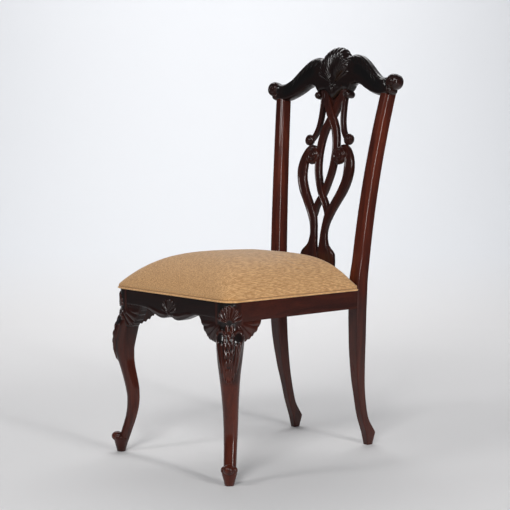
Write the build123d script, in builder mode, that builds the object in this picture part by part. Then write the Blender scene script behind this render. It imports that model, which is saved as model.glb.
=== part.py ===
from build123d import *
import os
from math import atan, cos, hypot, radians, sin, sqrt, tan

# Seat frame. The chair faces -Y, and the origin is on the floor under its middle.
seat_height = 403.0
seat_front_width = 436.0
seat_rear_width = 326.0
seat_depth = 451.0
seat_tilt = 1.0
front_face_y = -273.8
rail_height = 43.0
front_rail_thickness = 22.0
side_rail_thickness = 24.0
rear_rail_thickness = 31.0
tenon_thickness = 10.0
tenon_height = 27.0
side_tenon_length = 15.0
front_tenon_length = 18.0
rear_tenon_length = 15.0
rear_tenon_setback = 19.0
rail_setback = 3.0
joint_clearance = 0.2
tenon_end_gap = 1.5

# Shaped lower edge of the front rail: two lobes with a notch between them
lobe_half_span = 62.0
lobe_depth = 12.0
lobe_notch_depth = 7.0

# Front legs: a square block at the top, then a cabriole on the corner's diagonal
leg_block_side = 46.0
leg_corner_radius = 29.0
leg_block_height = 55.0
foot_setback = 12.0
leg_arris = 4.0
# Share of the seat height, offset outwards along the diagonal, side of the square section
leg_stations = (
    (0.075, -7.0, 24.0),
    (0.139, -15.0, 22.6),
    (0.236, -27.4, 23.8),
    (0.335, -31.4, 25.6),
    (0.432, -26.2, 28.0),
    (0.529, -17.2, 30.6),
    (0.625, -8.5, 37.0),
    (0.700, -6.0, 42.0),
    (0.772, -10.2, 44.0),
    (0.880, -21.5, 45.6),
)
toe_radius = 14.5
toe_height = 36.5
toe_reach = 9.5
toe_lobe_radius = 9.0
toe_lobe_offset = 10.0
toe_lobe_reach = 4.0
pad_base_radius = 10.8
pad_top_radius = 19.0
pad_height = 35.0

# Knee blocks: reach along the rail from the seat's corner, and drop below the rail
front_knee_reach = 113.0
side_knee_reach = 92.0
front_knee_drop = 62.0
side_knee_drop = 52.0
knee_block_thickness = 21.0
knee_block_gap = 1.2

# Back posts: section at the seat, and how the line of the post wanders
post_width = 34.0
post_proud = 2.0
post_depth = 35.0
post_top_width = 31.0
post_arris = 6.0
leg_edge = 2.5
heel_height = 30.0
heel_width = 21.0
heel_depth = 32.0
heel_kick = 53.0
rear_base_side = 17.0
rear_base_kick = 52.0
foot_inset = 12.5
# Share of the seat height, offset inwards, offset backwards, side of the section
rear_leg_stations = (
    (0.180, 13.4, 32.5, 21.6),
    (0.288, 12.4, 22.0, 22.2),
    (0.447, 9.0, 10.5, 26.4),
    (0.662, 4.0, 2.5, 31.5),
    (0.876, 1.2, 0.0, 33.5),
)
back_stations = 6
lean_start = 0.48
post_top_spread = 41.5

# Back: crest rail, splat and shoe, in one plane that leans back
crest_seat_height = 870.0
shoe_setback = 8.3
back_tilt = 7.2
crest_thickness = 30.0
crest_bow = 12.0
crest_bow_forward = 3.0
crest_half_span = 215.0
ear_radius = 18.5
ear_height = 35.0
ear_lobe_radius = 9.0
ear_lobe_offset = 2.0
lug_radius = 8.5
lug_offset = 50.0
shell_half_width = 41.0
crest_rise = 131.0
shoulder_rise = 109.0
shell_relief = 8.0
shell_root = 2.0
shell_join = 3.0
arch_rise = 34.0
post_tenon_width = 14.0
post_tenon_depth = 12.0
post_tenon_length = 26.0
splat_thickness = 13.0
splat_tenon_thickness = 7.0
splat_tenon_length = 15.0
splat_top_width = 72.0
splat_half_width = 96.5
splat_head = 6.0
strap_width = 18.0
side_strap_width = 12.5
outer_volute_radius = 12.0
inner_volute_radius = 15.5
volute_relief = 2.0
splat_foot_half_width = 60.5
shoe_length = 146.0
shoe_depth = 22.0
shoe_height = 34.0
shoe_cove = 3.5

# Seat pad: a board under a foam crown, in a cover turned under the board
pad_overhang = 2.0
pad_corner_radius = 31.0
pad_rear_radius = 5.0
pad_post_gap = 1.0
pad_shoe_gap = 0.8
board_thickness = 12.0
crown_height = 97.0
crown_edge = 14.0
crown_draw = 0.8
crown_fullness = 3.2
crown_rounding = 60.0
crown_sections = 6
cover_thickness = 1.2
cover_hem = 30.0
dust_cover_thickness = 0.8
dust_cover_gap = 0.5

# Corner blocks and their screws
corner_block_reach = 60.0
corner_block_height = 28.0
corner_block_drop = 2.0
screw_radius = 2.0
screw_head_radius = 4.0
screw_rim = 0.6
screw_hole_clearance = 0.1
block_screw_bite = 15.0
block_screw_cover = 16.0
block_screw_setback = 24.0
seat_screw_bite = 9.0
seat_screw_setback = 9.0

# Derived places
half_front = seat_front_width / 2
half_rear = seat_rear_width / 2
post_front_y = front_face_y + seat_depth
post_x = half_rear - post_width / 2 + post_proud
post_y = post_front_y + post_depth / 2
taper = (half_front - half_rear) / seat_depth
side_length = hypot(half_front - half_rear, seat_depth)
side_dir = Vector(-(half_front - half_rear) / side_length, seat_depth / side_length)
side_in = Vector(-side_dir.Y, side_dir.X)
outward = Vector(1 / sqrt(2), -1 / sqrt(2))
back_up = Vector(0, sin(radians(back_tilt)), cos(radians(back_tilt)))
back_front = Vector(0, -cos(radians(back_tilt)), sin(radians(back_tilt)))
seat_normal = Vector(0, sin(radians(seat_tilt)), cos(radians(seat_tilt)))
seat_back = Vector(0, cos(radians(seat_tilt)), -sin(radians(seat_tilt)))
front_face = Plane(origin=(0, front_face_y, seat_height), x_dir=(1, 0, 0), z_dir=-seat_back)
side_face = Plane(origin=(half_front, front_face_y, seat_height),
                  x_dir=Vector(side_dir.X, 0, 0) + seat_back * side_dir.Y,
                  z_dir=-(Vector(side_in.X, 0, 0) + seat_back * side_in.Y))
rear_drop = seat_depth * tan(radians(seat_tilt))
foot_x = half_front - foot_setback * outward.X
foot_y = front_face_y - foot_setback * outward.Y
shoe_front_y = post_front_y + shoe_setback
shoe_y = shoe_front_y + shoe_depth / 2
shoe_top = seat_height - rear_drop + shoe_height
crest_seat_y = shoe_y + (crest_seat_height - shoe_top) * tan(radians(back_tilt))
crest_seat = Plane(origin=(0, crest_seat_y, crest_seat_height), x_dir=(1, 0, 0), z_dir=back_up)
back_face = Plane(origin=(0, crest_seat_y, crest_seat_height), x_dir=(1, 0, 0), z_dir=back_front)
splat_foot = -(crest_seat_height - shoe_top) / cos(radians(back_tilt))
post_top_x = post_x + post_top_spread
post_top_lean = crest_seat_y + crest_bow_forward - crest_bow / 2 - post_y


def seat_level(rise):
    """Plane parallel to the tops of the seat rails, this far above them."""
    return Plane(origin=(0, front_face_y, seat_height), x_dir=(1, 0, 0), z_dir=seat_normal).offset(rise)


def side_point(along, inward):
    """Point in plan on the right side rail, from the front corner of its outer face."""
    return (half_front + along * side_dir.X + inward * side_in.X,
            along * side_dir.Y + inward * side_in.Y)


def plan_block(points, low, high, mode=Mode.ADD):
    """A prism between two levels of the seat, from its corners in plan."""
    with BuildSketch(seat_level(low)) as outline:
        with BuildLine():
            Polyline(*points, close=True)
        make_face()
    extrude(outline.sketch, amount=high - low, mode=mode)


def plan_rectangle(x_low, x_high, y_low, y_high):
    return ((x_low, y_low), (x_high, y_low), (x_high, y_high), (x_low, y_high))


def side_rectangle(along_low, along_high, in_low, in_high):
    return (side_point(along_low, in_low), side_point(along_high, in_low),
            side_point(along_high, in_high), side_point(along_low, in_high))


def mirrored(piece):
    """The left-hand twin of a right-hand piece."""
    with BuildPart() as twin:
        mirror(piece.part, about=Plane.YZ)
    return twin


def screw(place, length):
    """A countersunk wood screw: the head's face on the plane, the shank along its normal."""
    with BuildSketch(Plane(origin=place.origin, x_dir=place.x_dir, z_dir=place.y_dir)) as profile:
        with BuildLine():
            Polyline((0, 0), (screw_head_radius, 0), (screw_head_radius, -screw_rim),
                     (screw_radius, -screw_rim - screw_head_radius + screw_radius),
                     (screw_radius, screw_radius - length), (0, -length), close=True)
        make_face()
    revolve(profile.sketch, axis=Axis(place.origin, place.z_dir))


def screw_hole(place, length):
    """Bore for a screw, with its countersink."""
    radius = screw_radius + screw_hole_clearance
    head = screw_head_radius + screw_hole_clearance
    with BuildSketch(Plane(origin=place.origin, x_dir=place.x_dir, z_dir=place.y_dir)) as profile:
        with BuildLine():
            Polyline((0, 0), (head, 0), (head, -screw_rim), (radius, -screw_rim - head + radius),
                     (radius, -length - screw_hole_clearance),
                     (0, -length - screw_hole_clearance), close=True)
        make_face()
    revolve(profile.sketch, axis=Axis(place.origin, place.z_dir), mode=Mode.SUBTRACT)


# Tenon heights below the rail tops
tenon_low = -(rail_height + tenon_height) / 2
tenon_high = -(rail_height - tenon_height) / 2
side_tenon_in = (side_rail_thickness - tenon_thickness) / 2
front_tenon_in = (front_rail_thickness - tenon_thickness) / 2
front_shoulder = half_front - leg_block_side
rear_shoulder = post_x - post_width / 2


# Back posts
with BuildPart() as post_blank:
    with BuildSketch(Plane.XY):
        with Locations((post_x - foot_inset, post_y + rear_base_kick)):
            RectangleRounded(rear_base_side, rear_base_side, leg_edge)
    with BuildSketch(Plane.XY.offset(heel_height)):
        with Locations((post_x - foot_inset, post_y + heel_kick)):
            RectangleRounded(heel_width, heel_depth, leg_edge)
    loft(ruled=True)
    with BuildSketch(Plane.XY.offset(heel_height)):
        with Locations((post_x - foot_inset, post_y + heel_kick)):
            RectangleRounded(heel_width, heel_depth, leg_edge)
    for share, inwards, backwards, side in rear_leg_stations:
        with BuildSketch(Plane.XY.offset(share * seat_height)):
            with Locations((post_x - inwards, post_y + backwards)):
                RectangleRounded(side, side, leg_edge)
    with BuildSketch(Plane.XY.offset(seat_height)):
        with Locations((post_x, post_y)):
            RectangleRounded(post_width, post_depth, leg_edge)
    for station in range(1, back_stations + 2):
        share = station / back_stations
        lean = lean_start * share + (1 - lean_start) * share ** 2
        with BuildSketch(Plane.XY.offset(seat_height + share * (crest_seat_height - seat_height))):
            with Locations((post_x + post_top_spread * lean, post_y + post_top_lean * lean)):
                RectangleRounded(post_width + min(share, 1) * (post_top_width - post_width),
                                 post_depth + min(share, 1) * (post_top_width - post_depth), post_arris)
    loft()
    split(bisect_by=crest_seat, keep=Keep.BOTTOM)

with BuildPart() as right_back_post:
    add(post_blank.part)
    # Tenon into the crest rail
    with BuildSketch(crest_seat):
        with Locations((post_top_x, crest_bow_forward - crest_bow / 2)):
            Rectangle(post_tenon_width, post_tenon_depth)
    extrude(amount=post_tenon_length)
    # Mortises for the side rail and the rear rail
    plan_block(side_rectangle(side_length - side_tenon_length,
                              side_length + side_tenon_length + tenon_end_gap,
                              side_tenon_in - joint_clearance,
                              side_tenon_in + tenon_thickness + joint_clearance),
               tenon_low - joint_clearance, tenon_high + joint_clearance, Mode.SUBTRACT)
    plan_block(plan_rectangle(rear_shoulder - rear_tenon_length,
                              rear_shoulder + rear_tenon_length + tenon_end_gap,
                              seat_depth + rear_tenon_setback - joint_clearance,
                              seat_depth + rear_tenon_setback + tenon_thickness + joint_clearance),
               tenon_low - joint_clearance, tenon_high + joint_clearance, Mode.SUBTRACT)
left_back_post = mirrored(right_back_post)


# Front legs
def leg_section(share, offset_out, side):
    """Square section of a cabriole leg, rounded most at the corner that faces outwards."""
    knee_share = leg_stations[-1][0]
    radius = leg_arris + (leg_corner_radius - leg_arris) * (share / knee_share) ** 4
    with BuildSketch(Plane.XY.offset(share * seat_height)) as section:
        with Locations((foot_x + offset_out * outward.X, foot_y + offset_out * outward.Y)):
            Rectangle(side, side)
        corners = vertices().sort_by(lambda corner: corner.X - corner.Y)
        fillet(corners[-1], radius)
        corners = vertices().sort_by(lambda corner: corner.X - corner.Y)[:3]
        fillet(corners, leg_arris)
    return section.sketch


with BuildPart() as right_front_leg:
    loft([leg_section(*station) for station in leg_stations])
    block_corner = side_point(leg_block_side, 0)
    block_reach = (block_corner[0] - front_shoulder) / -side_in.X
    block_inner = (front_shoulder, block_corner[1] + block_reach * side_in.Y)
    with BuildSketch(seat_level(-leg_block_height)):
        with BuildLine():
            Polyline((front_shoulder, 0), (half_front, 0), block_corner, block_inner, close=True)
        make_face()
        fillet(vertices().sort_by(lambda corner: corner.X - corner.Y)[-1], leg_corner_radius)
    extrude(amount=leg_block_height)
    # Scroll toe on a tapered pad
    with BuildSketch(Plane.XY):
        with Locations((foot_x, foot_y)):
            Circle(pad_base_radius)
    with BuildSketch(Plane.XY.offset(pad_height)):
        with Locations((foot_x, foot_y)):
            Circle(pad_top_radius)
    loft()
    with Locations((foot_x + toe_reach * outward.X, foot_y + toe_reach * outward.Y, toe_height)):
        Sphere(toe_radius)
    for turn in (-1, 1):
        across = Vector(-outward.Y, outward.X) * turn * toe_lobe_offset + outward * toe_lobe_reach
        with Locations((foot_x + across.X, foot_y + across.Y, toe_height)):
            Sphere(toe_lobe_radius)
    # Mortises for the front rail and the side rail
    plan_block(plan_rectangle(front_shoulder - tenon_end_gap,
                              front_shoulder + front_tenon_length + tenon_end_gap,
                              front_tenon_in - joint_clearance,
                              front_tenon_in + tenon_thickness + joint_clearance),
               tenon_low - joint_clearance, tenon_high + joint_clearance, Mode.SUBTRACT)
    plan_block(side_rectangle(leg_block_side - side_tenon_length - tenon_end_gap,
                              leg_block_side + tenon_end_gap,
                              side_tenon_in - joint_clearance,
                              side_tenon_in + tenon_thickness + joint_clearance),
               tenon_low - joint_clearance, tenon_high + joint_clearance, Mode.SUBTRACT)
left_front_leg = mirrored(right_front_leg)

# Seat rails, with tenons into the legs and posts
with BuildPart() as right_side_rail:
    plan_block(side_rectangle(leg_block_side, side_length + side_tenon_length,
                              0, side_rail_thickness), -rail_height, 0)
    add(post_blank.part, mode=Mode.SUBTRACT)
    plan_block(side_rectangle(leg_block_side - side_tenon_length, side_length + side_tenon_length,
                              side_tenon_in, side_tenon_in + tenon_thickness),
               tenon_low, tenon_high)
left_side_rail = mirrored(right_side_rail)

with BuildPart() as rear_seat_rail:
    plan_block(plan_rectangle(-rear_shoulder - rail_setback, rear_shoulder + rail_setback, seat_depth + rail_setback,
                              seat_depth + rail_setback + rear_rail_thickness), -rail_height, 0)
    add(post_blank.part, mode=Mode.SUBTRACT)
    add(mirrored(post_blank).part, mode=Mode.SUBTRACT)
    tenon_end = rear_shoulder + rear_tenon_length
    plan_block(plan_rectangle(-tenon_end, tenon_end, seat_depth + rear_tenon_setback,
                              seat_depth + rear_tenon_setback + tenon_thickness),
               tenon_low, tenon_high)

with BuildPart() as front_seat_rail:
    with BuildSketch(front_face):
        with BuildLine():
            Polyline((lobe_half_span, -rail_height), (front_shoulder, -rail_height),
                     (front_shoulder, 0), (-front_shoulder, 0), (-front_shoulder, -rail_height),
                     (-lobe_half_span, -rail_height))
            for turn in (-1, 1):
                ThreePointArc((turn * lobe_half_span, -rail_height),
                              (turn * lobe_half_span * 0.56, -rail_height - lobe_depth),
                              (0, -rail_height - lobe_notch_depth))
        make_face()
    extrude(amount=-front_rail_thickness)
    tenon_end = front_shoulder + front_tenon_length
    plan_block(plan_rectangle(-tenon_end, tenon_end, front_tenon_in,
                              front_tenon_in + tenon_thickness), tenon_low, tenon_high)

# Knee blocks, glued under the rails against the legs
leg_corner_run = leg_corner_radius / tan((radians(90) - atan(taper)) / 2)
knee_root = leg_corner_run + knee_block_gap
with BuildPart() as right_front_knee_block:
    with BuildSketch(front_face):
        tip = half_front - front_knee_reach
        with BuildLine():
            Polyline((half_front - knee_root, -rail_height - front_knee_drop),
                     (half_front - knee_root, -rail_height), (tip, -rail_height),
                     (tip, -rail_height - 0.24 * front_knee_drop))
            ThreePointArc((tip, -rail_height - 0.24 * front_knee_drop),
                          (tip + 0.12 * front_knee_reach, -rail_height - 0.53 * front_knee_drop),
                          (tip + 0.33 * front_knee_reach, -rail_height - 0.74 * front_knee_drop))
            Line((tip + 0.33 * front_knee_reach, -rail_height - 0.74 * front_knee_drop),
                 (tip + 0.42 * front_knee_reach, -rail_height - front_knee_drop))
            Line((tip + 0.42 * front_knee_reach, -rail_height - front_knee_drop),
                 (half_front - knee_root, -rail_height - front_knee_drop))
        make_face()
    extrude(amount=-knee_block_thickness)
    add(right_front_leg.part, mode=Mode.SUBTRACT)
left_front_knee_block = mirrored(right_front_knee_block)

with BuildPart() as right_side_knee_block:
    with BuildSketch(side_face):
        with BuildLine():
            Polyline((knee_root, -rail_height - side_knee_drop),
                     (knee_root, -rail_height), (side_knee_reach, -rail_height),
                     (side_knee_reach, -rail_height - 0.06 * side_knee_drop))
            ThreePointArc((side_knee_reach, -rail_height - 0.06 * side_knee_drop),
                          (0.70 * side_knee_reach, -rail_height - 0.42 * side_knee_drop),
                          (0.50 * side_knee_reach, -rail_height - side_knee_drop))
            Line((0.50 * side_knee_reach, -rail_height - side_knee_drop),
                 (knee_root, -rail_height - side_knee_drop))
        make_face()
    extrude(amount=-knee_block_thickness)
    add(right_front_leg.part, mode=Mode.SUBTRACT)
left_side_knee_block = mirrored(right_side_knee_block)


# Crest rail: its outline stands on the seat of the posts, and it is bowed in plan
def crest_centre(x):
    """How far the crest rail's middle lies behind the plane of the back."""
    return crest_bow_forward - crest_bow * (x / crest_half_span) ** 2


post_inner = post_top_x - post_top_width / 2
post_outer = post_top_x + post_top_width / 2
with BuildPart() as crest_rail:
    with BuildSketch(back_face):
        with BuildLine():
            ThreePointArc((0, crest_rise), (0.72 * shell_half_width, 0.6 * crest_rise + 0.4 * shoulder_rise),
                          (shell_half_width, shoulder_rise - shell_join))
            Spline((shell_half_width, shoulder_rise - shell_join), (1.65 * shell_half_width, shoulder_rise),
                   (0.5 * crest_half_span, 0.86 * shoulder_rise),
                   (0.66 * crest_half_span, 0.59 * shoulder_rise),
                   (0.84 * crest_half_span, ear_height + 0.5 * ear_radius), (crest_half_span, ear_height + 0.65 * ear_radius))
            Polyline((crest_half_span, ear_height + 0.65 * ear_radius), (crest_half_span, ear_lobe_radius),
                     (post_outer, 0), (post_inner, 0))
            Spline((post_inner, 0), (0.68 * crest_half_span, 0.18 * arch_rise), (0.53 * crest_half_span, 0.59 * arch_rise),
                   (0.37 * crest_half_span, arch_rise), (lug_offset + 1.2 * lug_radius, 0.59 * arch_rise),
                   (lug_offset + lug_radius, lug_radius))
            Polyline((lug_offset + lug_radius, lug_radius), (lug_offset, 0), (0, 0), (0, crest_rise))
        make_face()
        mirror(about=Plane.YZ)
        for turn in (-1, 1):
            with Locations((turn * crest_half_span, ear_height)):
                Circle(ear_radius)
            with Locations((turn * (post_outer + ear_lobe_offset), ear_lobe_radius)):
                Circle(ear_lobe_radius)
            with Locations((turn * lug_offset, lug_radius)):
                Circle(lug_radius)
    extrude(amount=crest_thickness + crest_bow, both=True)
    band_end = crest_half_span + 2 * ear_radius
    with BuildSketch(crest_seat.offset(-crest_rise / 2)):
        with BuildLine():
            ThreePointArc((-band_end, crest_centre(band_end) - crest_thickness / 2),
                          (0, crest_centre(0) - crest_thickness / 2),
                          (band_end, crest_centre(band_end) - crest_thickness / 2))
            Line((band_end, crest_centre(band_end) - crest_thickness / 2),
                 (band_end, crest_centre(band_end) + crest_thickness / 2))
            ThreePointArc((band_end, crest_centre(band_end) + crest_thickness / 2),
                          (0, crest_centre(0) + crest_thickness / 2),
                          (-band_end, crest_centre(band_end) + crest_thickness / 2))
            Line((-band_end, crest_centre(band_end) + crest_thickness / 2),
                 (-band_end, crest_centre(band_end) - crest_thickness / 2))
        make_face()
    extrude(amount=2 * crest_rise, mode=Mode.INTERSECT)
    # Shell in the middle
    with BuildSketch(back_face.offset(crest_thickness / 2 - crest_bow_forward - shell_root)):
        with BuildLine():
            ThreePointArc((-shell_half_width, shoulder_rise - shell_join), (0, crest_rise - shell_join),
                          (shell_half_width, shoulder_rise - shell_join))
            ThreePointArc((shell_half_width, shoulder_rise - shell_join),
                          (0.7 * shell_half_width, 0.55 * shoulder_rise), (0, 0.3 * shoulder_rise))
            ThreePointArc((0, 0.3 * shoulder_rise), (-0.7 * shell_half_width, 0.55 * shoulder_rise),
                          (-shell_half_width, shoulder_rise - shell_join))
        make_face()
    extrude(amount=shell_relief + shell_root, taper=25)
    for turn in (-1, 1):
        # Mortises for the posts
        with BuildSketch(crest_seat):
            with Locations((turn * post_top_x, crest_bow_forward - crest_bow / 2)):
                Rectangle(post_tenon_width + 2 * joint_clearance, post_tenon_depth + 2 * joint_clearance)
        extrude(amount=post_tenon_length + tenon_end_gap, mode=Mode.SUBTRACT)
    with BuildSketch(crest_seat):
        Rectangle(splat_top_width + 2 * joint_clearance, splat_tenon_thickness + 2 * joint_clearance)
    extrude(amount=splat_tenon_length + tenon_end_gap, mode=Mode.SUBTRACT)


# Splat: pierced straps in the plane of the back, standing on the shoe
def splat_point(across, down):
    """Point of the splat's outline, as shares of its half width and of its length."""
    return (across * splat_half_width, down * splat_foot)


with BuildPart() as splat:
    with BuildSketch(back_face):
        for turn in (-1, 1):
            # Side strap, from the crest rail to the outer volute
            with BuildLine():
                Spline(splat_point(turn * 0.385, -0.02), splat_point(turn * 0.39, 0.08),
                       splat_point(turn * 0.416, 0.14), splat_point(turn * 0.51, 0.20),
                       splat_point(turn * 0.69, 0.245))
            trace(line_width=side_strap_width)
            # Crossing strap, from the opposite side of the top
            with BuildLine():
                Spline(splat_point(turn * -0.27, -0.02), splat_point(0, 0.095),
                       splat_point(turn * 0.24, 0.19), splat_point(turn * 0.32, 0.283),
                       splat_point(turn * 0.315, 0.351), splat_point(turn * 0.25, 0.442),
                       splat_point(turn * 0.125, 0.508), splat_point(0, 0.556),
                       splat_point(turn * -0.17, 0.617), splat_point(turn * -0.24, 0.671))
            trace(line_width=strap_width)
            # Outer scroll, down through the waist to the foot
            with BuildLine():
                Spline(splat_point(turn * 0.645, 0.277), splat_point(turn * 0.885, 0.331),
                       splat_point(turn * 1.0, 0.395), splat_point(turn * 0.985, 0.4535),
                       splat_point(turn * 0.86, 0.528), splat_point(turn * 0.63, 0.605),
                       splat_point(turn * 0.445, 0.671), splat_point(turn * 0.315, 0.732),
                       splat_point(turn * 0.29, 0.787), splat_point(turn * 0.355, 0.837),
                       (turn * splat_foot_half_width, 0.9 * splat_foot))
                Polyline((turn * splat_foot_half_width, 0.9 * splat_foot),
                         (turn * splat_foot_half_width, splat_foot), (0, splat_foot),
                         splat_point(0, 0.9), splat_point(turn * 0.03, 0.88))
                Spline(splat_point(turn * 0.03, 0.88), splat_point(turn * 0.073, 0.839),
                       splat_point(turn * 0.104, 0.787), splat_point(turn * 0.135, 0.721),
                       splat_point(turn * 0.19, 0.671), splat_point(turn * 0.365, 0.612),
                       splat_point(turn * 0.59, 0.537), splat_point(turn * 0.73, 0.465),
                       splat_point(turn * 0.735, 0.39), splat_point(turn * 0.655, 0.317))
                Line(splat_point(turn * 0.655, 0.317), splat_point(turn * 0.645, 0.277))
            make_face()
            with Locations(splat_point(turn * 0.745, 0.238)):
                Circle(outer_volute_radius)
            with Locations(splat_point(turn * 0.5, 0.34)):
                Circle(inner_volute_radius)
        Rectangle(splat_top_width, splat_head, align=(Align.CENTER, Align.MAX))
        Rectangle(2 * splat_half_width, splat_tenon_length, align=(Align.CENTER, Align.MIN),
                  mode=Mode.SUBTRACT)
    extrude(amount=splat_thickness / 2, both=True)
    with BuildSketch(back_face.offset(splat_thickness / 2)):
        for turn in (-1, 1):
            with Locations(splat_point(turn * 0.745, 0.238)):
                Circle(outer_volute_radius)
            with Locations(splat_point(turn * 0.5, 0.34)):
                Circle(inner_volute_radius)
    extrude(amount=volute_relief)
    with BuildSketch(crest_seat):
        Rectangle(splat_top_width, splat_tenon_thickness)
    extrude(amount=splat_tenon_length)
    with BuildSketch(crest_seat.offset(splat_foot)):
        Rectangle(splat_top_width, splat_tenon_thickness)
    extrude(amount=-splat_tenon_length)

shoe_start = (shoe_front_y - front_face_y) / cos(radians(seat_tilt))
with BuildPart() as splat_shoe:
    plan_block(plan_rectangle(-shoe_length / 2, shoe_length / 2, shoe_start, shoe_start + shoe_depth),
               0, 2 * shoe_height)
    split(bisect_by=crest_seat.offset(splat_foot), keep=Keep.BOTTOM)
    chamfer(edges().filter_by(Axis.X).sort_by(Axis.Z)[-2:], shoe_cove)
    with BuildSketch(crest_seat.offset(splat_foot)):
        Rectangle(splat_top_width + 2 * joint_clearance, splat_tenon_thickness + 2 * joint_clearance)
    extrude(amount=-splat_tenon_length - tenon_end_gap, mode=Mode.SUBTRACT)

# Corner blocks and screws: places of the screws, each a plane whose normal is the drive
front_block_x = front_shoulder - block_screw_setback
rear_block_x = rear_shoulder - block_screw_setback
rear_face = seat_depth + rail_setback
screw_high = -corner_block_drop - 0.3 * corner_block_height
screw_low = -corner_block_drop - 0.72 * corner_block_height
block_bottom = -corner_block_drop - corner_block_height


def seat_place(x, back, rise, drive):
    """Plane at a point of the seat frame, facing along a direction given in the same axes."""
    return Plane(origin=seat_level(0).from_local_coords(Vector(x, back, rise)),
                 z_dir=Vector(drive.X, 0, 0) + seat_back * drive.Y + seat_normal * drive.Z)


def block_screw_places(turn):
    """Places of the four rail screws on one side of the chair, two in each corner block."""
    cover = block_screw_cover
    places = [seat_place(turn * front_block_x, front_rail_thickness + cover, screw_high, Vector(0, -1, 0)),
              seat_place(turn * rear_block_x, rear_face - cover, screw_high, Vector(0, 1, 0))]
    for along in (leg_block_side + block_screw_setback, side_length - block_screw_setback):
        spot = side_point(along, side_rail_thickness + cover)
        places.append(seat_place(turn * spot[0], spot[1], screw_low,
                                 Vector(-turn * side_in.X, -side_in.Y, 0)))
    return places


def seat_screw_places(turn):
    """Places of the two screws that hold the seat pad down on one side."""
    return [seat_place(turn * (front_shoulder - seat_screw_setback),
                       front_rail_thickness + 3 * seat_screw_setback, block_bottom, Vector(0, 0, 1)),
            seat_place(turn * (rear_shoulder - seat_screw_setback), rear_face - 2 * seat_screw_setback,
                       block_bottom, Vector(0, 0, 1))]


block_screw_length = block_screw_cover + block_screw_bite
seat_screw_length = -block_bottom + cover_thickness + seat_screw_bite


def bore_screws(sides):
    """Cut the screw holes of the given sides, with a pocket behind each rail screw's head."""
    for turn in sides:
        for place in block_screw_places(turn):
            screw_hole(place, block_screw_length)
            with BuildSketch(place) as pocket:
                Circle(screw_head_radius + screw_hole_clearance)
            extrude(pocket.sketch, amount=-corner_block_reach, mode=Mode.SUBTRACT)
        for place in seat_screw_places(turn):
            screw_hole(place, seat_screw_length)


with BuildPart() as front_right_corner_block:
    plan_block(((front_shoulder - corner_block_reach, front_rail_thickness),
                (front_shoulder, front_rail_thickness), block_inner,
                side_point(leg_block_side, side_rail_thickness),
                side_point(leg_block_side + corner_block_reach, side_rail_thickness)),
               block_bottom, -corner_block_drop)
    bore_screws([1])
front_left_corner_block = mirrored(front_right_corner_block)

with BuildPart() as rear_right_corner_block:
    plan_block(((rear_shoulder - corner_block_reach, rear_face), (rear_shoulder + rail_setback, rear_face),
                side_point(side_length, side_rail_thickness),
                side_point(side_length - corner_block_reach, side_rail_thickness)),
               block_bottom, -corner_block_drop)
    add(post_blank.part, mode=Mode.SUBTRACT)
    bore_screws([1])
rear_left_corner_block = mirrored(rear_right_corner_block)

with BuildPart() as corner_block_screws:
    for turn in (-1, 1):
        for place in block_screw_places(turn):
            screw(place, block_screw_length)

with BuildPart() as seat_screws:
    for turn in (-1, 1):
        for place in seat_screw_places(turn):
            screw(place, seat_screw_length)

# Pilot holes in the rails
for rail, sides in ((right_side_rail, [1]), (left_side_rail, [-1]),
                    (front_seat_rail, [-1, 1]), (rear_seat_rail, [-1, 1])):
    with rail:
        for turn in sides:
            for place in block_screw_places(turn):
                screw_hole(place, block_screw_length)


# Seat pad
pad_rear = shoe_start - pad_shoe_gap


def pad_outline(rise, inset, drawn_in=0.0):
    """The pad's outline in plan at a level, inset by a skin, then drawn in by a share of its size."""
    keep = 1 - drawn_in
    front = inset - pad_overhang
    rear = pad_rear - inset
    wide = (pad_overhang - inset) * sqrt(1 + taper ** 2)
    front_half = keep * (half_front - taper * front + wide)
    rear_half = keep * (half_front - taper * rear + wide)
    middle = (front + rear) / 2
    reach = keep * (rear - front) / 2
    with BuildSketch(seat_level(rise)) as outline:
        with BuildLine():
            Polyline((-front_half, middle - reach), (front_half, middle - reach),
                     (rear_half, middle + reach), (-rear_half, middle + reach), close=True)
        make_face()
        corners = vertices().sort_by(Axis.Y)
        fillet(corners[:2], keep * (pad_corner_radius + crown_rounding * drawn_in))
        corners = vertices().sort_by(Axis.Y)
        fillet(corners[-2:], keep * (pad_rear_radius + crown_rounding * drawn_in))
    return outline.sketch


def crown(skin, bottom):
    """The domed form of the pad, a skin's thickness inside its outer surface."""
    extrude(pad_outline(bottom, skin), amount=crown_edge - bottom)
    sections = []
    for step in range(crown_sections + 1):
        share = step / crown_sections
        rise = crown_edge + (crown_height - skin - crown_edge) * (1 - (1 - share) ** crown_fullness)
        sections.append(pad_outline(rise, skin, crown_draw * share))
    loft(sections)


def notch_for_posts(skin):
    """Cut the two rear corners back to clear the posts."""
    gap = pad_post_gap + skin
    for turn in (-1, 1):
        notch = plan_rectangle(rear_shoulder - gap, seat_front_width, seat_depth - gap, 2 * seat_depth)
        plan_block([(turn * x, y) for x, y in notch], -board_thickness, 2 * crown_height, Mode.SUBTRACT)


def bore_seat_screws():
    for turn in (-1, 1):
        for place in seat_screw_places(turn):
            screw_hole(place, seat_screw_length)


board_top = cover_thickness + board_thickness
with BuildPart() as seat_board:
    extrude(pad_outline(cover_thickness, cover_thickness), amount=board_thickness)
    notch_for_posts(cover_thickness)
    bore_seat_screws()

with BuildPart() as seat_foam:
    crown(cover_thickness, board_top)
    notch_for_posts(cover_thickness)

with BuildPart() as seat_cover:
    crown(0, 0)
    notch_for_posts(0)
    add(seat_foam.part, mode=Mode.SUBTRACT)
    extrude(pad_outline(cover_thickness, cover_thickness), amount=board_thickness, mode=Mode.SUBTRACT)
    extrude(pad_outline(0, cover_hem), amount=cover_thickness, mode=Mode.SUBTRACT)
    bore_seat_screws()

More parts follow.
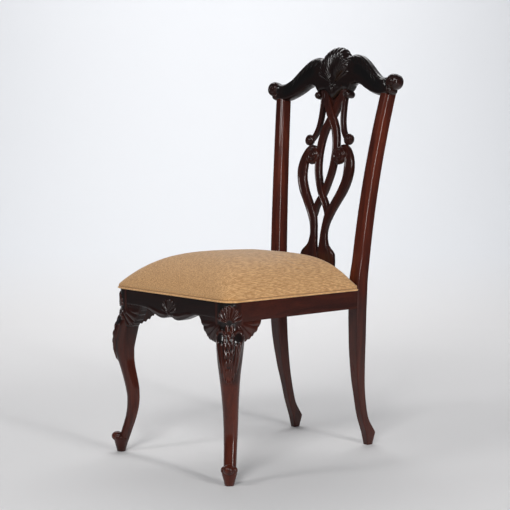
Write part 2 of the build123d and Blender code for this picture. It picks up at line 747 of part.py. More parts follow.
with BuildPart() as seat_dust_cover:
    extrude(pad_outline(cover_thickness - dust_cover_thickness, cover_hem + dust_cover_gap),
            amount=dust_cover_thickness)
    bore_seat_screws()

pieces = {
    "left_back_post": left_back_post,
    "right_back_post": right_back_post,
    "crest_rail": crest_rail,
    "splat": splat,
    "splat_shoe": splat_shoe,
    "rear_seat_rail": rear_seat_rail,
    "left_side_rail": left_side_rail,
    "right_side_rail": right_side_rail,
    "front_seat_rail": front_seat_rail,
    "left_front_leg": left_front_leg,
    "right_front_leg": right_front_leg,
    "left_front_knee_block": left_front_knee_block,
    "left_side_knee_block": left_side_knee_block,
    "right_front_knee_block": right_front_knee_block,
    "right_side_knee_block": right_side_knee_block,
    "front_left_corner_block": front_left_corner_block,
    "front_right_corner_block": front_right_corner_block,
    "rear_left_corner_block": rear_left_corner_block,
    "rear_right_corner_block": rear_right_corner_block,
    "corner_block_screws": corner_block_screws,
    "seat_screws": seat_screws,
    "seat_board": seat_board,
    "seat_foam": seat_foam,
    "seat_cover": seat_cover,
    "seat_dust_cover": seat_dust_cover,
}

os.makedirs("parts", exist_ok=True)
for label, piece in pieces.items():
    piece.part.label = label
    export_step(piece.part, f"parts/{label}.step")
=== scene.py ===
"""Carved mahogany side chair: carving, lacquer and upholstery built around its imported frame."""
from math import cos, pi, radians, sin, sqrt, tan

import bmesh
import bpy
import numpy as np
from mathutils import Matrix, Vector


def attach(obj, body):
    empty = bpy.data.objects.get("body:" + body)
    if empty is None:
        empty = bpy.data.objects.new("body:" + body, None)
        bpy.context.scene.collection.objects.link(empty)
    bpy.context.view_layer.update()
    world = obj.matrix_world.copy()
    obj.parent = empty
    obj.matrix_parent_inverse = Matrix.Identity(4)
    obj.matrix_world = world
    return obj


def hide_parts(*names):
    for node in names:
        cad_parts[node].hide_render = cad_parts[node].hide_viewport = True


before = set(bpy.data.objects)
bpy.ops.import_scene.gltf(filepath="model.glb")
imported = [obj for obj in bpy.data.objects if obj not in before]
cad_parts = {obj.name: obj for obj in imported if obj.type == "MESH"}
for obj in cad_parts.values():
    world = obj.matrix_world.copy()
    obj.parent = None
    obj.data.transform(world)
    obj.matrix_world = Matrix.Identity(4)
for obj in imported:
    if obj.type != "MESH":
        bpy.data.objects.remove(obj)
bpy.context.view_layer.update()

bl_info = {
    "name": "Carved Side Chair",
    "version": (1, 0, 0),
    "blender": (4, 5, 0),
    "location": "View3D > Sidebar > Chair",
    "description": "Builds the carved wood, the cloth seat and the studio of a mahogany side chair",
    "category": "Object",
}

MM = 0.001

# Seat frame and back in millimetres, as the solids have them
SEAT_HEIGHT = 403.0
HALF_FRONT = 218.0
HALF_REAR = 163.0
SEAT_DEPTH = 451.0
SEAT_TILT = radians(1.0)
FRONT_Y = -273.8
TAPER = (HALF_FRONT - HALF_REAR) / SEAT_DEPTH
BACK_TILT = radians(7.2)
CREST_Y = 252.195
CREST_Z = 870.0
POST_X = 148.0
POST_Y = 194.7
POST_LEAN = 54.5
POST_SPREAD = 41.5
FOOT_INSET = 12.0
FOOT_X = HALF_FRONT - FOOT_INSET / sqrt(2)
FOOT_Y = FRONT_Y + FOOT_INSET / sqrt(2)


# Curves and points


def ease(low, high, value):
    """Smooth step from 0 at low to 1 at high."""
    share = np.clip((value - low) / (high - low), 0.0, 1.0)
    return share * share * (3 - 2 * share)


def bump(value, centre, width):
    """Rounded hump of height 1 at a centre, gone at a width from it."""
    return ease(0.0, 1.0, 1 - np.abs(value - centre) / width)


def window(value, start, full, wane, end):
    """1 from full to wane, easing to 0 at start and at end."""
    return ease(start, full, value) * ease(end, wane, value)


def knob(across, up, radius):
    """Half round button of height 1, from distances across and up from its middle."""
    return np.sqrt(np.clip(1 - (across ** 2 + up ** 2) / radius ** 2, 0, 1))


def fan_turn(across, up):
    """Turn from upright about a fan's root, in degrees."""
    return np.degrees(np.arctan2(across, np.maximum(up, 1e-3)))


def hermite(t, step, start, stop, slope_in, slope_out):
    """A cubic from start to stop with a slope at each end, at the share t of a step."""
    return (start * (2 * t ** 3 - 3 * t ** 2 + 1) + slope_in * step * (t ** 3 - 2 * t ** 2 + t)
            + stop * (3 * t ** 2 - 2 * t ** 3) + slope_out * step * (t ** 3 - t ** 2))


def through(knots, at):
    """Smooth curve through (place, value) knots, which doesn't overshoot between them."""
    places, values = np.array(knots, float).T
    steps = np.diff(places)
    rates = np.diff(values) / steps
    slopes = np.empty_like(values)
    slopes[0], slopes[-1] = rates[0], rates[-1]
    before, after = rates[:-1], rates[1:]
    same = before * after > 0
    total = np.where(same, before + after, 1.0)
    slopes[1:-1] = np.where(same, 2 * before * after / total, 0.0)
    at = np.asarray(at, float)
    i = np.clip(np.searchsorted(places, at) - 1, 0, len(steps) - 1)
    t = np.clip((at - places[i]) / steps[i], 0.0, 1.0)
    return hermite(t, steps[i], values[i], values[i + 1], slopes[i], slopes[i + 1])


def run_along(points):
    """Length of a line of plan points, from its start to each of them."""
    return np.concatenate([[0], np.cumsum(np.hypot(*np.diff(points, axis=0).T))])


def flowing(points, count):
    """A flowing line through plan points, with evenly spaced samples."""
    points = np.array(points, float)
    run = run_along(points)
    slopes = np.gradient(points, run, axis=0)
    fine = np.linspace(0, run[-1], 40 * len(points))
    i = np.clip(np.searchsorted(run, fine) - 1, 0, len(run) - 2)
    span = (run[i + 1] - run[i])[:, None]
    t = ((fine - run[i])[:, None]) / span
    line = hermite(t, span, points[i], points[i + 1], slopes[i], slopes[i + 1])
    length = run_along(line)
    even = np.linspace(0, length[-1], count)
    return np.stack([np.interp(even, length, line[:, 0]), np.interp(even, length, line[:, 1])], 1)


def back_points(x, v, out):
    """Points of the leaning back: across, up from the crest rail's seat, and forward of its plane."""
    x, v, out = np.broadcast_arrays(x, v, out)
    return np.stack([x, CREST_Y + v * sin(BACK_TILT) - out * cos(BACK_TILT),
                     CREST_Z + v * cos(BACK_TILT) + out * sin(BACK_TILT)], -1)


def seat_points(x, back, rise):
    """Points of the seat frame: across, back from the front face, and above the rail tops."""
    x, back, rise = np.broadcast_arrays(x, back, rise)
    return np.stack([x, FRONT_Y + back * cos(SEAT_TILT) + rise * sin(SEAT_TILT),
                     SEAT_HEIGHT - back * sin(SEAT_TILT) + rise * cos(SEAT_TILT)], -1)


def surface_normals(points):
    """Unit normals of a grid of points."""
    normal = np.cross(np.gradient(points, axis=1), np.gradient(points, axis=0))
    return normal / np.maximum(np.linalg.norm(normal, axis=-1, keepdims=True), 1e-9)


def half_round(count, turned=1):
    """Shares from -1 to 1 that crowd towards both ends, or from 1 to -1 when turned is -1."""
    return np.sin(turned * np.linspace(-pi / 2, pi / 2, count))


def full_turn(count):
    """Angles evenly spaced round a circle."""
    return np.linspace(0, 2 * pi, count + 1)[:-1]


def run_towards(outline, goal, steps):
    """Lengthen an outline towards a goal, with points that crowd up to it."""
    for step in range(1, steps):
        outline.append(outline[-1] + (goal - outline[-1]) * step / steps)


def rounded_rectangle(width, depth, front_radius, rear_radius, corner_steps=8, side_steps=5):
    """Outline of a rectangle with rounded front and rear corners, anticlockwise."""
    corners = ((1, 1, rear_radius), (-1, 1, rear_radius), (-1, -1, front_radius), (1, -1, front_radius))
    outline = []
    for quarter, (sx, sy, radius) in enumerate(corners):
        centre = np.array((sx * (width / 2 - radius), sy * (depth / 2 - radius)))
        turns = (quarter + np.linspace(0, 1, corner_steps + 1)) * pi / 2
        arc = centre + radius * np.stack([np.cos(turns), np.sin(turns)], 1)
        if outline:
            run_towards(outline, arc[0], side_steps)
        outline.extend(arc)
    run_towards(outline, outline[0], side_steps)
    return np.array(outline)


class PieceMesh:
    """Gathers the surfaces of one piece, in millimetres, with the depth of stain and painted shade on each
    point.
    """

    def __init__(self):
        self.points = []
        self.stain_and_shade = []
        self.faces = []
        self.count = 0

    def add_points(self, points, stain_and_shade):
        """Add points with their depth of stain and painted shade, and give the first one's number."""
        points = np.asarray(points, float).reshape(-1, 3)
        first = self.count
        self.points.append(points)
        self.stain_and_shade.append(np.broadcast_to(np.asarray(stain_and_shade, float).reshape(-1), (len(points),)))
        self.count += len(points)
        return first

    def grid(self, points, stain_and_shade=0.0, wrap=False, caps=False):
        """Add a grid of quads. With wrap, its rows are rings; with caps, the first and last are closed."""
        rows, columns = points.shape[:2]
        first = self.add_points(points, stain_and_shade)
        index = np.arange(rows * columns).reshape(rows, columns) + first
        if wrap:
            index = np.concatenate([index, index[:, :1]], 1)
        quads = np.stack([index[:-1, :-1], index[:-1, 1:], index[1:, 1:], index[1:, :-1]], -1)
        self.faces.extend(quads.reshape(-1, 4).tolist())
        if caps:
            flat = np.broadcast_to(np.asarray(stain_and_shade, float), (rows, columns))
            for row in (0, rows - 1):
                middle = self.add_points(points[row].mean(0), flat[row].mean())
                ring = index[row]
                self.faces.extend([[int(ring[i]), int(ring[i + 1]), middle] for i in range(len(ring) - 1)])

    def mirror(self):
        """The left-hand twin."""
        twin = PieceMesh()
        for points, stain_and_shade in zip(self.points, self.stain_and_shade):
            twin.points.append(points * (-1, 1, 1))
            twin.stain_and_shade.append(stain_and_shade)
        twin.faces = [list(face) for face in self.faces]
        twin.count = self.count
        return twin

    def build(self, name, material, sharp=50.0):
        """Make the object, with smooth shading that breaks at sharp edges."""
        mesh = bpy.data.meshes.new(name)
        mesh.from_pydata((np.concatenate(self.points) * MM).tolist(), [], self.faces)
        stain_and_shade = mesh.attributes.new("stain_and_shade", "FLOAT", "POINT")
        stain_and_shade.data.foreach_set("value", np.concatenate(self.stain_and_shade))
        work = bmesh.new()
        work.from_mesh(mesh)
        bmesh.ops.recalc_face_normals(work, faces=work.faces)
        work.to_mesh(mesh)
        work.free()
        mesh.polygons.foreach_set("use_smooth", np.ones(len(mesh.polygons), bool))
        mesh.set_sharp_from_angle(angle=radians(sharp))
        mesh.materials.append(material)
        piece = bpy.data.objects.new(name, mesh)
        bpy.context.scene.collection.objects.link(piece)
        return piece


def settle(piece, slot, *nodes):
    """Let a piece ride on the chair and stand for its solids."""
    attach(piece, "root")
    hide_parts(*nodes)


# Materials


def new_material(name):
    material = bpy.data.materials.new(name)
    material.use_nodes = True
    tree = material.node_tree
    return material, tree, tree.nodes["Principled BSDF"]


def feed(tree, made, inputs):
    """Set a node's inputs to values, or link them to sockets."""
    for name, value in inputs.items():
        if isinstance(value, bpy.types.NodeSocket):
            tree.links.new(value, made.inputs[name])
        else:
            made.inputs[name].default_value = value


def node(tree, kind, inputs=None, **settings):
    """A shader node with its settings and its inputs."""
    made = tree.nodes.new(kind)
    for name, value in settings.items():
        setattr(made, name, value)
    feed(tree, made, inputs or {})
    return made


def math_node(tree, operation, first, second=0.0):
    return node(tree, "ShaderNodeMath", {0: first, 1: second}, operation=operation).outputs[0]


def noise(tree, scale, detail, **inputs):
    return node(tree, "ShaderNodeTexNoise", {"Scale": scale, "Detail": detail, **inputs}).outputs["Fac"]


def map_range(tree, value, given, wanted=(0.0, 1.0)):
    return node(tree, "ShaderNodeMapRange", {"Value": value, "From Min": given[0], "From Max": given[1],
                                             "To Min": wanted[0], "To Max": wanted[1]}).outputs[0]


def rgba(colour, lighten=1.0):
    """An opaque colour."""
    return tuple(min(1.0, part * lighten) for part in colour) + (1.0,)


def mix_colour(tree, share, first, second):
    made = node(tree, "ShaderNodeMix", data_type="RGBA")
    for name, value in (("Factor", share), ("A", first), ("B", second)):
        socket = [s for s in made.inputs if s.name == name and s.enabled][0]
        if isinstance(value, bpy.types.NodeSocket):
            tree.links.new(value, socket)
        else:
            socket.default_value = value
    return [s for s in made.outputs if s.enabled][0]


def emboss(tree, shader, height, strength, distance):
    """Raise a material's surface by a height."""
    raised = node(tree, "ShaderNodeBump", {"Height": height, "Strength": strength, "Distance": distance})
    feed(tree, shader, {"Normal": raised.outputs[0]})


def two_tone(name, pattern, colours, given, roughness, metallic=0.0):
    """A plain material whose colour and roughness waver with a pattern."""
    material, tree, shader = new_material(name)
    value = pattern(tree)
    feed(tree, shader, {"Base Color": mix_colour(tree, value, rgba(colours[0]), rgba(colours[1])),
                        "Roughness": map_range(tree, value, given, roughness), "Metallic": metallic})
    return material


def node_group(name, inputs, outputs):
    """An empty shader node group with named sockets: inputs as (name, socket type, default)."""
    group = bpy.data.node_groups.new(name, "ShaderNodeTree")
    for label, kind, default in inputs:
        socket = group.interface.new_socket(label, in_out="INPUT", socket_type=kind)
        if default is not None:
            socket.default_value = default
    for label in outputs:
        group.interface.new_socket(label, in_out="OUTPUT", socket_type="NodeSocketFloat")
    return group, group.nodes.new("NodeGroupInput"), group.nodes.new("NodeGroupOutput")


GRAIN_STRETCH = (1.0, 1.0, 0.07)
GRAIN_TURNS = {"X": (0.0, radians(90), 0.0), "Y": (radians(90), 0.0, 0.0), "Z": (0.0, 0.0, 0.0)}


def wood_grain_group():
    """Long figure and short pores of a hardwood, along the group's Z."""
    if "wood grain" in bpy.data.node_groups:
        return bpy.data.node_groups["wood grain"]
    group, given, out = node_group(
        "wood grain",
        [("Place", "NodeSocketVector", None), ("Figure Scale", "NodeSocketFloat", 34.0),
         ("Pore Scale", "NodeSocketFloat", 900.0)],
        ["Figure", "Pores"])
    stretch = {"Vector": given.outputs["Place"], "Scale": GRAIN_STRETCH}
    long_way = node(group, "ShaderNodeMapping", stretch).outputs[0]
    figure = noise(group, given.outputs["Figure Scale"], 5.0, Vector=long_way, Roughness=0.6,
                   Distortion=0.8)
    pores = noise(group, given.outputs["Pore Scale"], 2.0, Vector=long_way)
    feed(group, out, {"Figure": figure, "Pores": map_range(group, pores, (0.52, 0.72))})
    return group


def grained(tree, axis, figure_scale, pore_scale):
    """The figure and the pores of wood whose grain runs along an axis of the chair."""
    place = node(tree, "ShaderNodeTexCoord").outputs["Object"]
    turned = node(tree, "ShaderNodeMapping", {"Vector": place, "Rotation": GRAIN_TURNS[axis]}).outputs[0]
    scales = {"Place": turned, "Figure Scale": figure_scale, "Pore Scale": pore_scale}
    grain = node(tree, "ShaderNodeGroup", scales, node_tree=wood_grain_group())
    return grain.outputs["Figure"], grain.outputs["Pores"]


def mahogany(axis, base_stain=0.0):
    """Lacquered mahogany with its grain along an axis. A point attribute darkens it towards the glaze, with
    stain and with painted shade.
    """
    name = f"mahogany lacquer {axis} {base_stain:.2f}"
    if name in bpy.data.materials:
        return bpy.data.materials[name]
    look = bpy.context.scene.chair_wood
    glaze_and_shade = rgba(look.glaze_and_shade)
    material, tree, shader = new_material(name)
    figure, pores = grained(tree, axis, look.figure_scale, look.pore_scale)
    red = mix_colour(tree, map_range(tree, figure, (0.35, 0.68)), rgba(look.red_light),
                     rgba(look.red_deep))
    red = mix_colour(tree, math_node(tree, "MULTIPLY", pores, look.pore_shade), red, glaze_and_shade)
    # The point attribute holds stain and painted shade, read here to darken the wood towards the glaze.
    stain_and_shade = node(tree, "ShaderNodeAttribute", attribute_name="stain_and_shade").outputs["Fac"]
    depth = node(tree, "ShaderNodeClamp", {"Value": math_node(tree, "ADD", stain_and_shade, base_stain)}).outputs[0]
    roughness = (look.roughness - 0.05, look.roughness + 0.08)
    feed(tree, shader, {"Base Color": mix_colour(tree, depth, red, glaze_and_shade),
                        "Roughness": map_range(tree, figure, (0.3, 0.7), roughness),
                        "Coat Weight": look.coat, "Coat Roughness": 0.10, "Specular IOR Level": 0.08})
    open_pores = math_node(tree, "MULTIPLY", pores, 0.6)
    skin = math_node(tree, "SUBTRACT", noise(tree, 260.0, 2.0), open_pores)
    emboss(tree, shader, skin, strength=0.05, distance=0.0006)
    return material


def raw_wood(name, colours, axis):
    """Unfinished inner wood."""
    material, tree, shader = new_material(name)
    figure, pores = grained(tree, axis, 60.0, 1200.0)
    feed(tree, shader, {"Base Color": mix_colour(tree, figure, rgba(colours[0]), rgba(colours[1])),
                        "Roughness": map_range(tree, pores, (0.0, 1.0), (0.62, 0.8))})
    emboss(tree, shader, figure, strength=0.25, distance=0.0008)
    return material


STREAK_STRETCH = (0.55, 0.12, 1.0)
# A dark line is painted along the cloth as a seam groove's shade, above the welt.
SEAM_SHADE_HEIGHT = 6.2  # over the rail tops, in mm
SEAM_SHADE_BAND = (0.0006, 0.0018)  # full shade up to the first distance, none past the second, in m
SEAM_SHADE_DEPTH = 0.42
SEAM_SHADE = (0.12, 0.06, 0.025, 1.0)


def weave_group():
    """Chenille cloth: fine ribs across, heathered streaks and loose fibres."""
    if "chenille weave" in bpy.data.node_groups:
        return bpy.data.node_groups["chenille weave"]
    group, given, out = node_group(
        "chenille weave",
        [("Place", "NodeSocketVector", None), ("Rib Scale", "NodeSocketFloat", 90.0),
         ("Streak Scale", "NodeSocketFloat", 520.0)],
        ["Streaks", "Ribs", "Height"])
    place = given.outputs["Place"]
    wave = {"Vector": place, "Scale": given.outputs["Rib Scale"], "Distortion": 2.4, "Detail": 2.0,
            "Detail Scale": 1.6}
    ribs = node(group, "ShaderNodeTexWave", wave, bands_direction="X").outputs["Fac"]
    stretched = node(group, "ShaderNodeMapping", {"Vector": place, "Scale": STREAK_STRETCH}).outputs[0]
    streaks = noise(group, given.outputs["Streak Scale"], 4.0, Vector=stretched, Roughness=0.65)
    fibres = noise(group, 950.0, 3.0, Vector=place)
    pile = math_node(group, "ADD", math_node(group, "MULTIPLY", streaks, 0.8),
                     math_node(group, "MULTIPLY", fibres, 0.5))
    height = math_node(group, "ADD", math_node(group, "MULTIPLY", ribs, 0.5), pile)
    feed(group, out, {"Streaks": streaks, "Ribs": ribs, "Height": height})
    return group


def upholstery(name, lighten=1.0):
    """Tan chenille cloth, with painted shade along a seam line above its edge."""
    look = bpy.context.scene.chair_seat
    material, tree, shader = new_material(name)
    place = node(tree, "ShaderNodeTexCoord").outputs["Object"]
    weave = node(tree, "ShaderNodeGroup", node_tree=weave_group())
    feed(tree, weave, {"Place": place, "Rib Scale": look.rib_scale})
    streaks = weave.outputs["Streaks"]
    pale, deep = rgba(look.cloth_pale, lighten), rgba(look.cloth_deep, lighten)
    heather = mix_colour(tree, map_range(tree, streaks, (0.40, 0.60)), deep, pale)
    between_ribs = math_node(tree, "MULTIPLY", weave.outputs["Ribs"], look.rib_shade)
    ribbed = mix_colour(tree, between_ribs, heather, deep)
    seat_up = (0.0, sin(SEAT_TILT), cos(SEAT_TILT))
    height = node(tree, "ShaderNodeVectorMath", {0: place, 1: seat_up}, operation="DOT_PRODUCT")
    seam_shade_level = FRONT_Y * sin(SEAT_TILT) + SEAT_HEIGHT * cos(SEAT_TILT) + SEAM_SHADE_HEIGHT
    over_seam_shade = math_node(tree, "SUBTRACT", height.outputs["Value"], seam_shade_level * MM)
    # Painted shade along the seam line, in place of a groove's shadow.
    seam_shade = map_range(tree, math_node(tree, "ABSOLUTE", over_seam_shade), SEAM_SHADE_BAND, (SEAM_SHADE_DEPTH, 0.0))
    feed(tree, shader, {"Base Color": mix_colour(tree, seam_shade, ribbed, SEAM_SHADE),
                        "Roughness": map_range(tree, streaks, (0.3, 0.7), (0.95, 0.8)),
                        "Sheen Weight": 0.25, "Sheen Roughness": 0.5, "Specular IOR Level": 0.2})
    emboss(tree, shader, weave.outputs["Height"], strength=0.5, distance=0.0015)
    return material


# Settings that a user would change


def colour_setting(name, description, default):
    return bpy.props.FloatVectorProperty(name=name, description=description, subtype="COLOR", size=3,
                                         min=0.0, max=1.0, default=default)


def share_setting(name, description, default):
    return bpy.props.FloatProperty(name=name, description=description, subtype="FACTOR", min=0.0, max=1.0,
                                   default=default)


def number_setting(name, description, default, **kind):
    return bpy.props.FloatProperty(name=name, description=description, default=default, **kind)


class ChairWoodSettings(bpy.types.PropertyGroup):
    red_light: colour_setting("Light figure", "Colour of the wood's lighter figure", (0.105, 0.0195, 0.009))
    red_deep: colour_setting("Deep figure", "Colour of the wood's darker figure", (0.040, 0.007, 0.004))
    # This nearly black glaze is also the colour of the painted shade in hollows and on front faces.
    glaze_and_shade: colour_setting("Glaze", "Nearly black glaze in the carving", (0.0045, 0.0036, 0.0034))
    roughness: share_setting("Roughness", "Roughness of the wood under its lacquer", 0.32)
    coat: share_setting("Lacquer", "Weight of the clear lacquer", 0.52)
    pore_shade: share_setting("Pore shade", "How dark the glaze makes the pores", 0.45)
    figure_scale: number_setting("Figure scale", "Streaks of figure per metre across the grain", 34.0)
    pore_scale: number_setting("Pore scale", "Pores per metre across the grain", 900.0)


class ChairCarvingSettings(bpy.types.PropertyGroup):
    shell_flutes: bpy.props.IntProperty(
        name="Shell flutes", description="Flutes in the crest rail's shell", min=5, max=21, default=13)
    shell_relief: number_setting("Shell relief", "Height of the shell over the crest rail, in mm", 8.0)
    flute_depth: number_setting("Flute depth", "Depth of the shell's flutes, in mm", 3.2)
    gouge_depth: number_setting("Gouge depth", "Depth of the leaf cuts along the shoulders, in mm", 2.6)
    leaf_relief: number_setting("Leaf relief", "Height of the knee's leaf over the leg, in mm", 2.6)
    strap_hollow: number_setting("Strap hollow", "Depth of the hollow between a strap's edges, in mm", 1.1)
    strap_weave: number_setting("Strap weave", "How far a strap passes over or under another, in mm", 2.2)


class ChairSeatSettings(bpy.types.PropertyGroup):
    cloth_pale: colour_setting("Pale yarn", "Colour of the cloth's pale yarn", (0.71, 0.42, 0.19))
    cloth_deep: colour_setting("Deep yarn", "Colour of the cloth's deep yarn", (0.42, 0.22, 0.082))
    rib_scale: number_setting("Rib scale", "Ribs of the weave, as a wave scale", 76.0)
    rib_shade: share_setting("Rib shade", "How much of the deep yarn shows between the ribs", 0.45)
    crown_height: number_setting("Crown height", "Top of the seat above the rails, in mm", 94.0)
    edge_height: number_setting("Edge height", "Upright edge of the seat above the rails, in mm", 11.0)
    pressure: number_setting("Filling pressure", "Pressure of the filling on the cloth", 4.0)
    most_swell: number_setting("Most swell", "Furthest that the filling moves the cloth, in mm", 6.0)
    voxel: number_setting("Cloth grid", "Size of the cloth's grid before it is filled, in mm", 5.0)


class ChairStageSettings(bpy.types.PropertyGroup):
    eye: bpy.props.FloatVectorProperty(
        name="Eye", description="Place of the camera", subtype="TRANSLATION", unit="LENGTH", size=3,
        default=(2.2395, -1.9314, 0.7160))
    heading: number_setting("Heading", "Camera's turn about the vertical", radians(49.398), subtype="ANGLE")
    pitch: number_setting("Pitch", "Camera's tilt below the horizon", radians(4.518), subtype="ANGLE")
    lens: number_setting("Lens", "Focal length on a 36 mm sensor", 85.75, unit="CAMERA")
    floor_colour: colour_setting("Floor", "Colour of the studio floor", (0.75, 0.742, 0.742))
    wall_colour: colour_setting("Backdrop", "Colour of the backdrop", (0.755, 0.767, 0.79))
    key_power: number_setting("Key light", "Power of the key light", 47.0, unit="POWER")
    top_power: number_setting("Top light", "Power of the large light overhead", 68.0, unit="POWER")
    fill_power: number_setting("Fill light", "Power of the fill light", 29.0, unit="POWER")
    backdrop_power: number_setting("Backdrop light", "Power of the backdrop's light", 70.0, unit="POWER")


# Back posts

POST_WIDTH = 34.0
POST_DEPTH = 35.0
POST_ARRIS = 2.5
POST_LAP = 8.0  # into the crest rail
HEEL_HEIGHT = 30.0
HEEL_IN = 12.5
HEEL_BACK = 53.0
HEEL_WIDTH = 21.0
HEEL_DEPTH = 32.0
REAR_FOOT_SIDE = 17.0
FOOT_KICK = 1.0  # forward of the heel
REAR_LEG = (  # height, inwards and backwards of the post at the seat, side of the square section
    (72.5, 13.4, 32.5, 21.6), (116.0, 12.4, 22.0, 22.2), (180.0, 9.0, 10.5, 26.4), (266.8, 4.0, 2.5, 31.5),
    (353.0, 1.2, 0.0, 33.5))


def post_stations():
    """Height, across, back, width, depth and front arris of a right-hand post, up to the crest rail."""
    rows = [(HEEL_HEIGHT, POST_X - HEEL_IN, POST_Y + HEEL_BACK, HEEL_WIDTH, HEEL_DEPTH, POST_ARRIS)]
    for height, inwards, backwards, side in REAR_LEG:
        rows.append((height, POST_X - inwards, POST_Y + backwards, side, side, 3.0))
    rows.append((SEAT_HEIGHT, POST_X, POST_Y, POST_WIDTH, POST_DEPTH, 4.0))
    for step in range(1, 8):
        share = step / 6
        lean = 0.48 * share + 0.52 * share ** 2
        slim = min(share, 1.0)
        rows.append((SEAT_HEIGHT + share * (CREST_Z - SEAT_HEIGHT), POST_X + POST_SPREAD * lean,
                     POST_Y + POST_LEAN * lean, POST_WIDTH - 3.0 * slim, POST_DEPTH - 4.0 * slim, 10.0))
    return np.array(rows)


def level_ring(outline, x, y, height):
    """A plan outline laid level round a place."""
    return np.column_stack([x + outline[:, 0], y + outline[:, 1], np.full(len(outline), height)])


def back_post():
    """A back post and rear leg in one swept piece, with a kicked heel."""
    rows = post_stations()
    heights = np.concatenate([np.linspace(HEEL_HEIGHT, 420, 110), np.linspace(423, CREST_Z + 12, 110)])
    values = [through(rows[:, (0, k)], heights) for k in range(1, 6)]
    rings = []
    for share in np.linspace(0, 1, 7)[:-1]:
        width = REAR_FOOT_SIDE + (HEEL_WIDTH - REAR_FOOT_SIDE) * share
        depth = REAR_FOOT_SIDE + (HEEL_DEPTH - REAR_FOOT_SIDE) * share
        outline = rounded_rectangle(width, depth, POST_ARRIS, POST_ARRIS)
        back = POST_Y + HEEL_BACK - FOOT_KICK * (1 - share)
        rings.append(level_ring(outline, POST_X - HEEL_IN, back, HEEL_HEIGHT * share))
    for height, x, y, width, depth, radius in zip(heights, *values):
        rings.append(level_ring(rounded_rectangle(width, depth, radius, POST_ARRIS), x, y, height))
    rings = np.array(rings)
    seat_of_crest = CREST_Z + POST_LAP - (rings[..., 1] - CREST_Y) * tan(BACK_TILT)
    rings[..., 2] = np.minimum(rings[..., 2], seat_of_crest)
    part = PieceMesh()
    stain_and_shade = 0.3 * ease(800, 870, rings[..., 2]) + 0.32 * ease(430, 330, rings[..., 2])
    part.grid(rings, stain_and_shade, wrap=True, caps=True)
    return part


class CHAIR_OT_back_posts(bpy.types.Operator):
    """Shape the two back posts with their rear legs"""
    bl_idname = "chair.back_posts"
    bl_label = "Back Posts"

    def execute(self, context):
        right = back_post()
        for side, part in (("right", right), ("left", right.mirror())):
            piece = part.build(f"{side}_back_post_shaped", mahogany("Z"))
            settle(piece, "mahogany", f"{side}_back_post")
        return {"FINISHED"}


# Crest rail

CREST_TOP = ((0, 131), (12, 130), (24, 125.5), (34, 117.5), (44, 106.5), (54, 107.5), (67, 109),
             (86, 105.5), (107, 94), (125, 79.5), (142, 64), (160, 50.5), (180, 43), (200, 43), (214, 44.5))
CREST_BOTTOM = ((0, -4), (10, 3), (24, 15), (36, 21), (46, 20), (54, 14), (60, 20), (66, 30), (79, 34.5),
                (97, 29.5), (114, 20), (146, 6), (172, 0), (203, 0), (214, 12))
CREST_BOW = 15.0  # forward at the bow's reach
BOW_REACH = 215.0
CREST_SETBACK = 6.0
CREST_HALF = 213.0
CREST_HALF_DEPTH = 15.0
EAR_X = 215.5
EAR_V = 30.5
SHELL_HALF = 62.0
SHELL_ROOT = 36.0
SHELL_REACH = 96.0
SCALLOP_REACH = 92.0
SHELL_SPREAD = 52.0  # degrees to each side
SHELL_CURLS = ((6.5, 33, 5.5), (0, 24, 5.0), (47.5, 96, 7.5))  # across, up, radius
LEAF_SPACING = 15.0
CREST_SCROLLS = (  # across, up, radius, forward, thickness, turns, hand, groove, stain
    (EAR_X, EAR_V, 19.8, 0.43, 33, 1.7, 1, 2.4, 0.8), (205, 11, 11, 0.5, 31, 1.2, -1, 1.2, 0.8),
    (52, 9, 10, 2.43, 30, 1.5, -1, 1.6, 0.8))


def crest_out(x):
    """How far the crest rail's middle lies in front of the back's plane."""
    return CREST_BOW * (x / BOW_REACH) ** 2 - CREST_SETBACK


def shell_carving(x, v, look):
    """Relief of the fluted shell in its collar, with curls, a pendant and a plain field below it."""
    a = np.abs(x)
    reach = np.hypot(x, v - SHELL_ROOT)
    turn = fan_turn(x, v - SHELL_ROOT)
    ribs = np.abs(np.cos(np.radians(turn) * look.shell_flutes * 90 / SHELL_SPREAD)) ** 0.7
    rim = SHELL_REACH - 34.0 * (np.abs(turn) / SHELL_SPREAD) ** 1.6
    inside = ease(2.0, -9.0, reach - rim) * ease(58, 47, np.abs(turn)) * (v > SHELL_ROOT)
    share = np.clip(reach / rim, 0, 1)
    dome = look.shell_relief * inside * ease(0.0, 0.55, share) * (1 - 0.3 * ease(0.75, 1.0, share))
    flutes = look.flute_depth * inside * (ribs - 0.7) * ease(0.06, 0.4, share)
    collar = 2.8 * bump(np.abs(turn), 60, 6.5) * window(reach, 5, 11, 54, 64) * (v > SHELL_ROOT - 2)
    curls = sum(3.4 * knob(a - across, v - up, radius) for across, up, radius in SHELL_CURLS)
    pendant = 3.6 * bump(x, 0, 6.0) * window(v, -4, 4, 17, 24)
    field = 2.4 * ease(34, 14, a + 0.9 * (v - 20)) * ease(34, 26, v)
    return dome + flutes + collar + curls + pendant + field


def shoulder_carving(a, v, top, bottom, look):
    """Relief of the shoulders: leaf cuts under a lined top edge, a hollow, a bead and the ear's groove."""
    below = top - v
    cuts = np.cos(2 * pi * (a - 0.8 * below) / LEAF_SPACING)
    band = window(a, 50, 60, 140, 165) * window(below, 5, 9, 17, 27)
    leaves = look.gouge_depth * band * np.minimum(cuts, 0.0)
    edge_line = -1.6 * bump(below, 3.5, 2.2) * window(a, 46, 54, 180, 198)
    bead = 1.8 * bump(v - bottom, 4.0, 3.4) * window(a, 58, 66, 170, 196)
    hollow = -2.0 * bump(v, (top + bottom) / 2, 24) * window(a, 60, 84, 160, 200)
    ear_groove = -3.0 * bump(np.hypot(a - EAR_X, v - EAR_V), 22.5, 3.5)
    return leaves + edge_line + bead + hollow + ear_groove


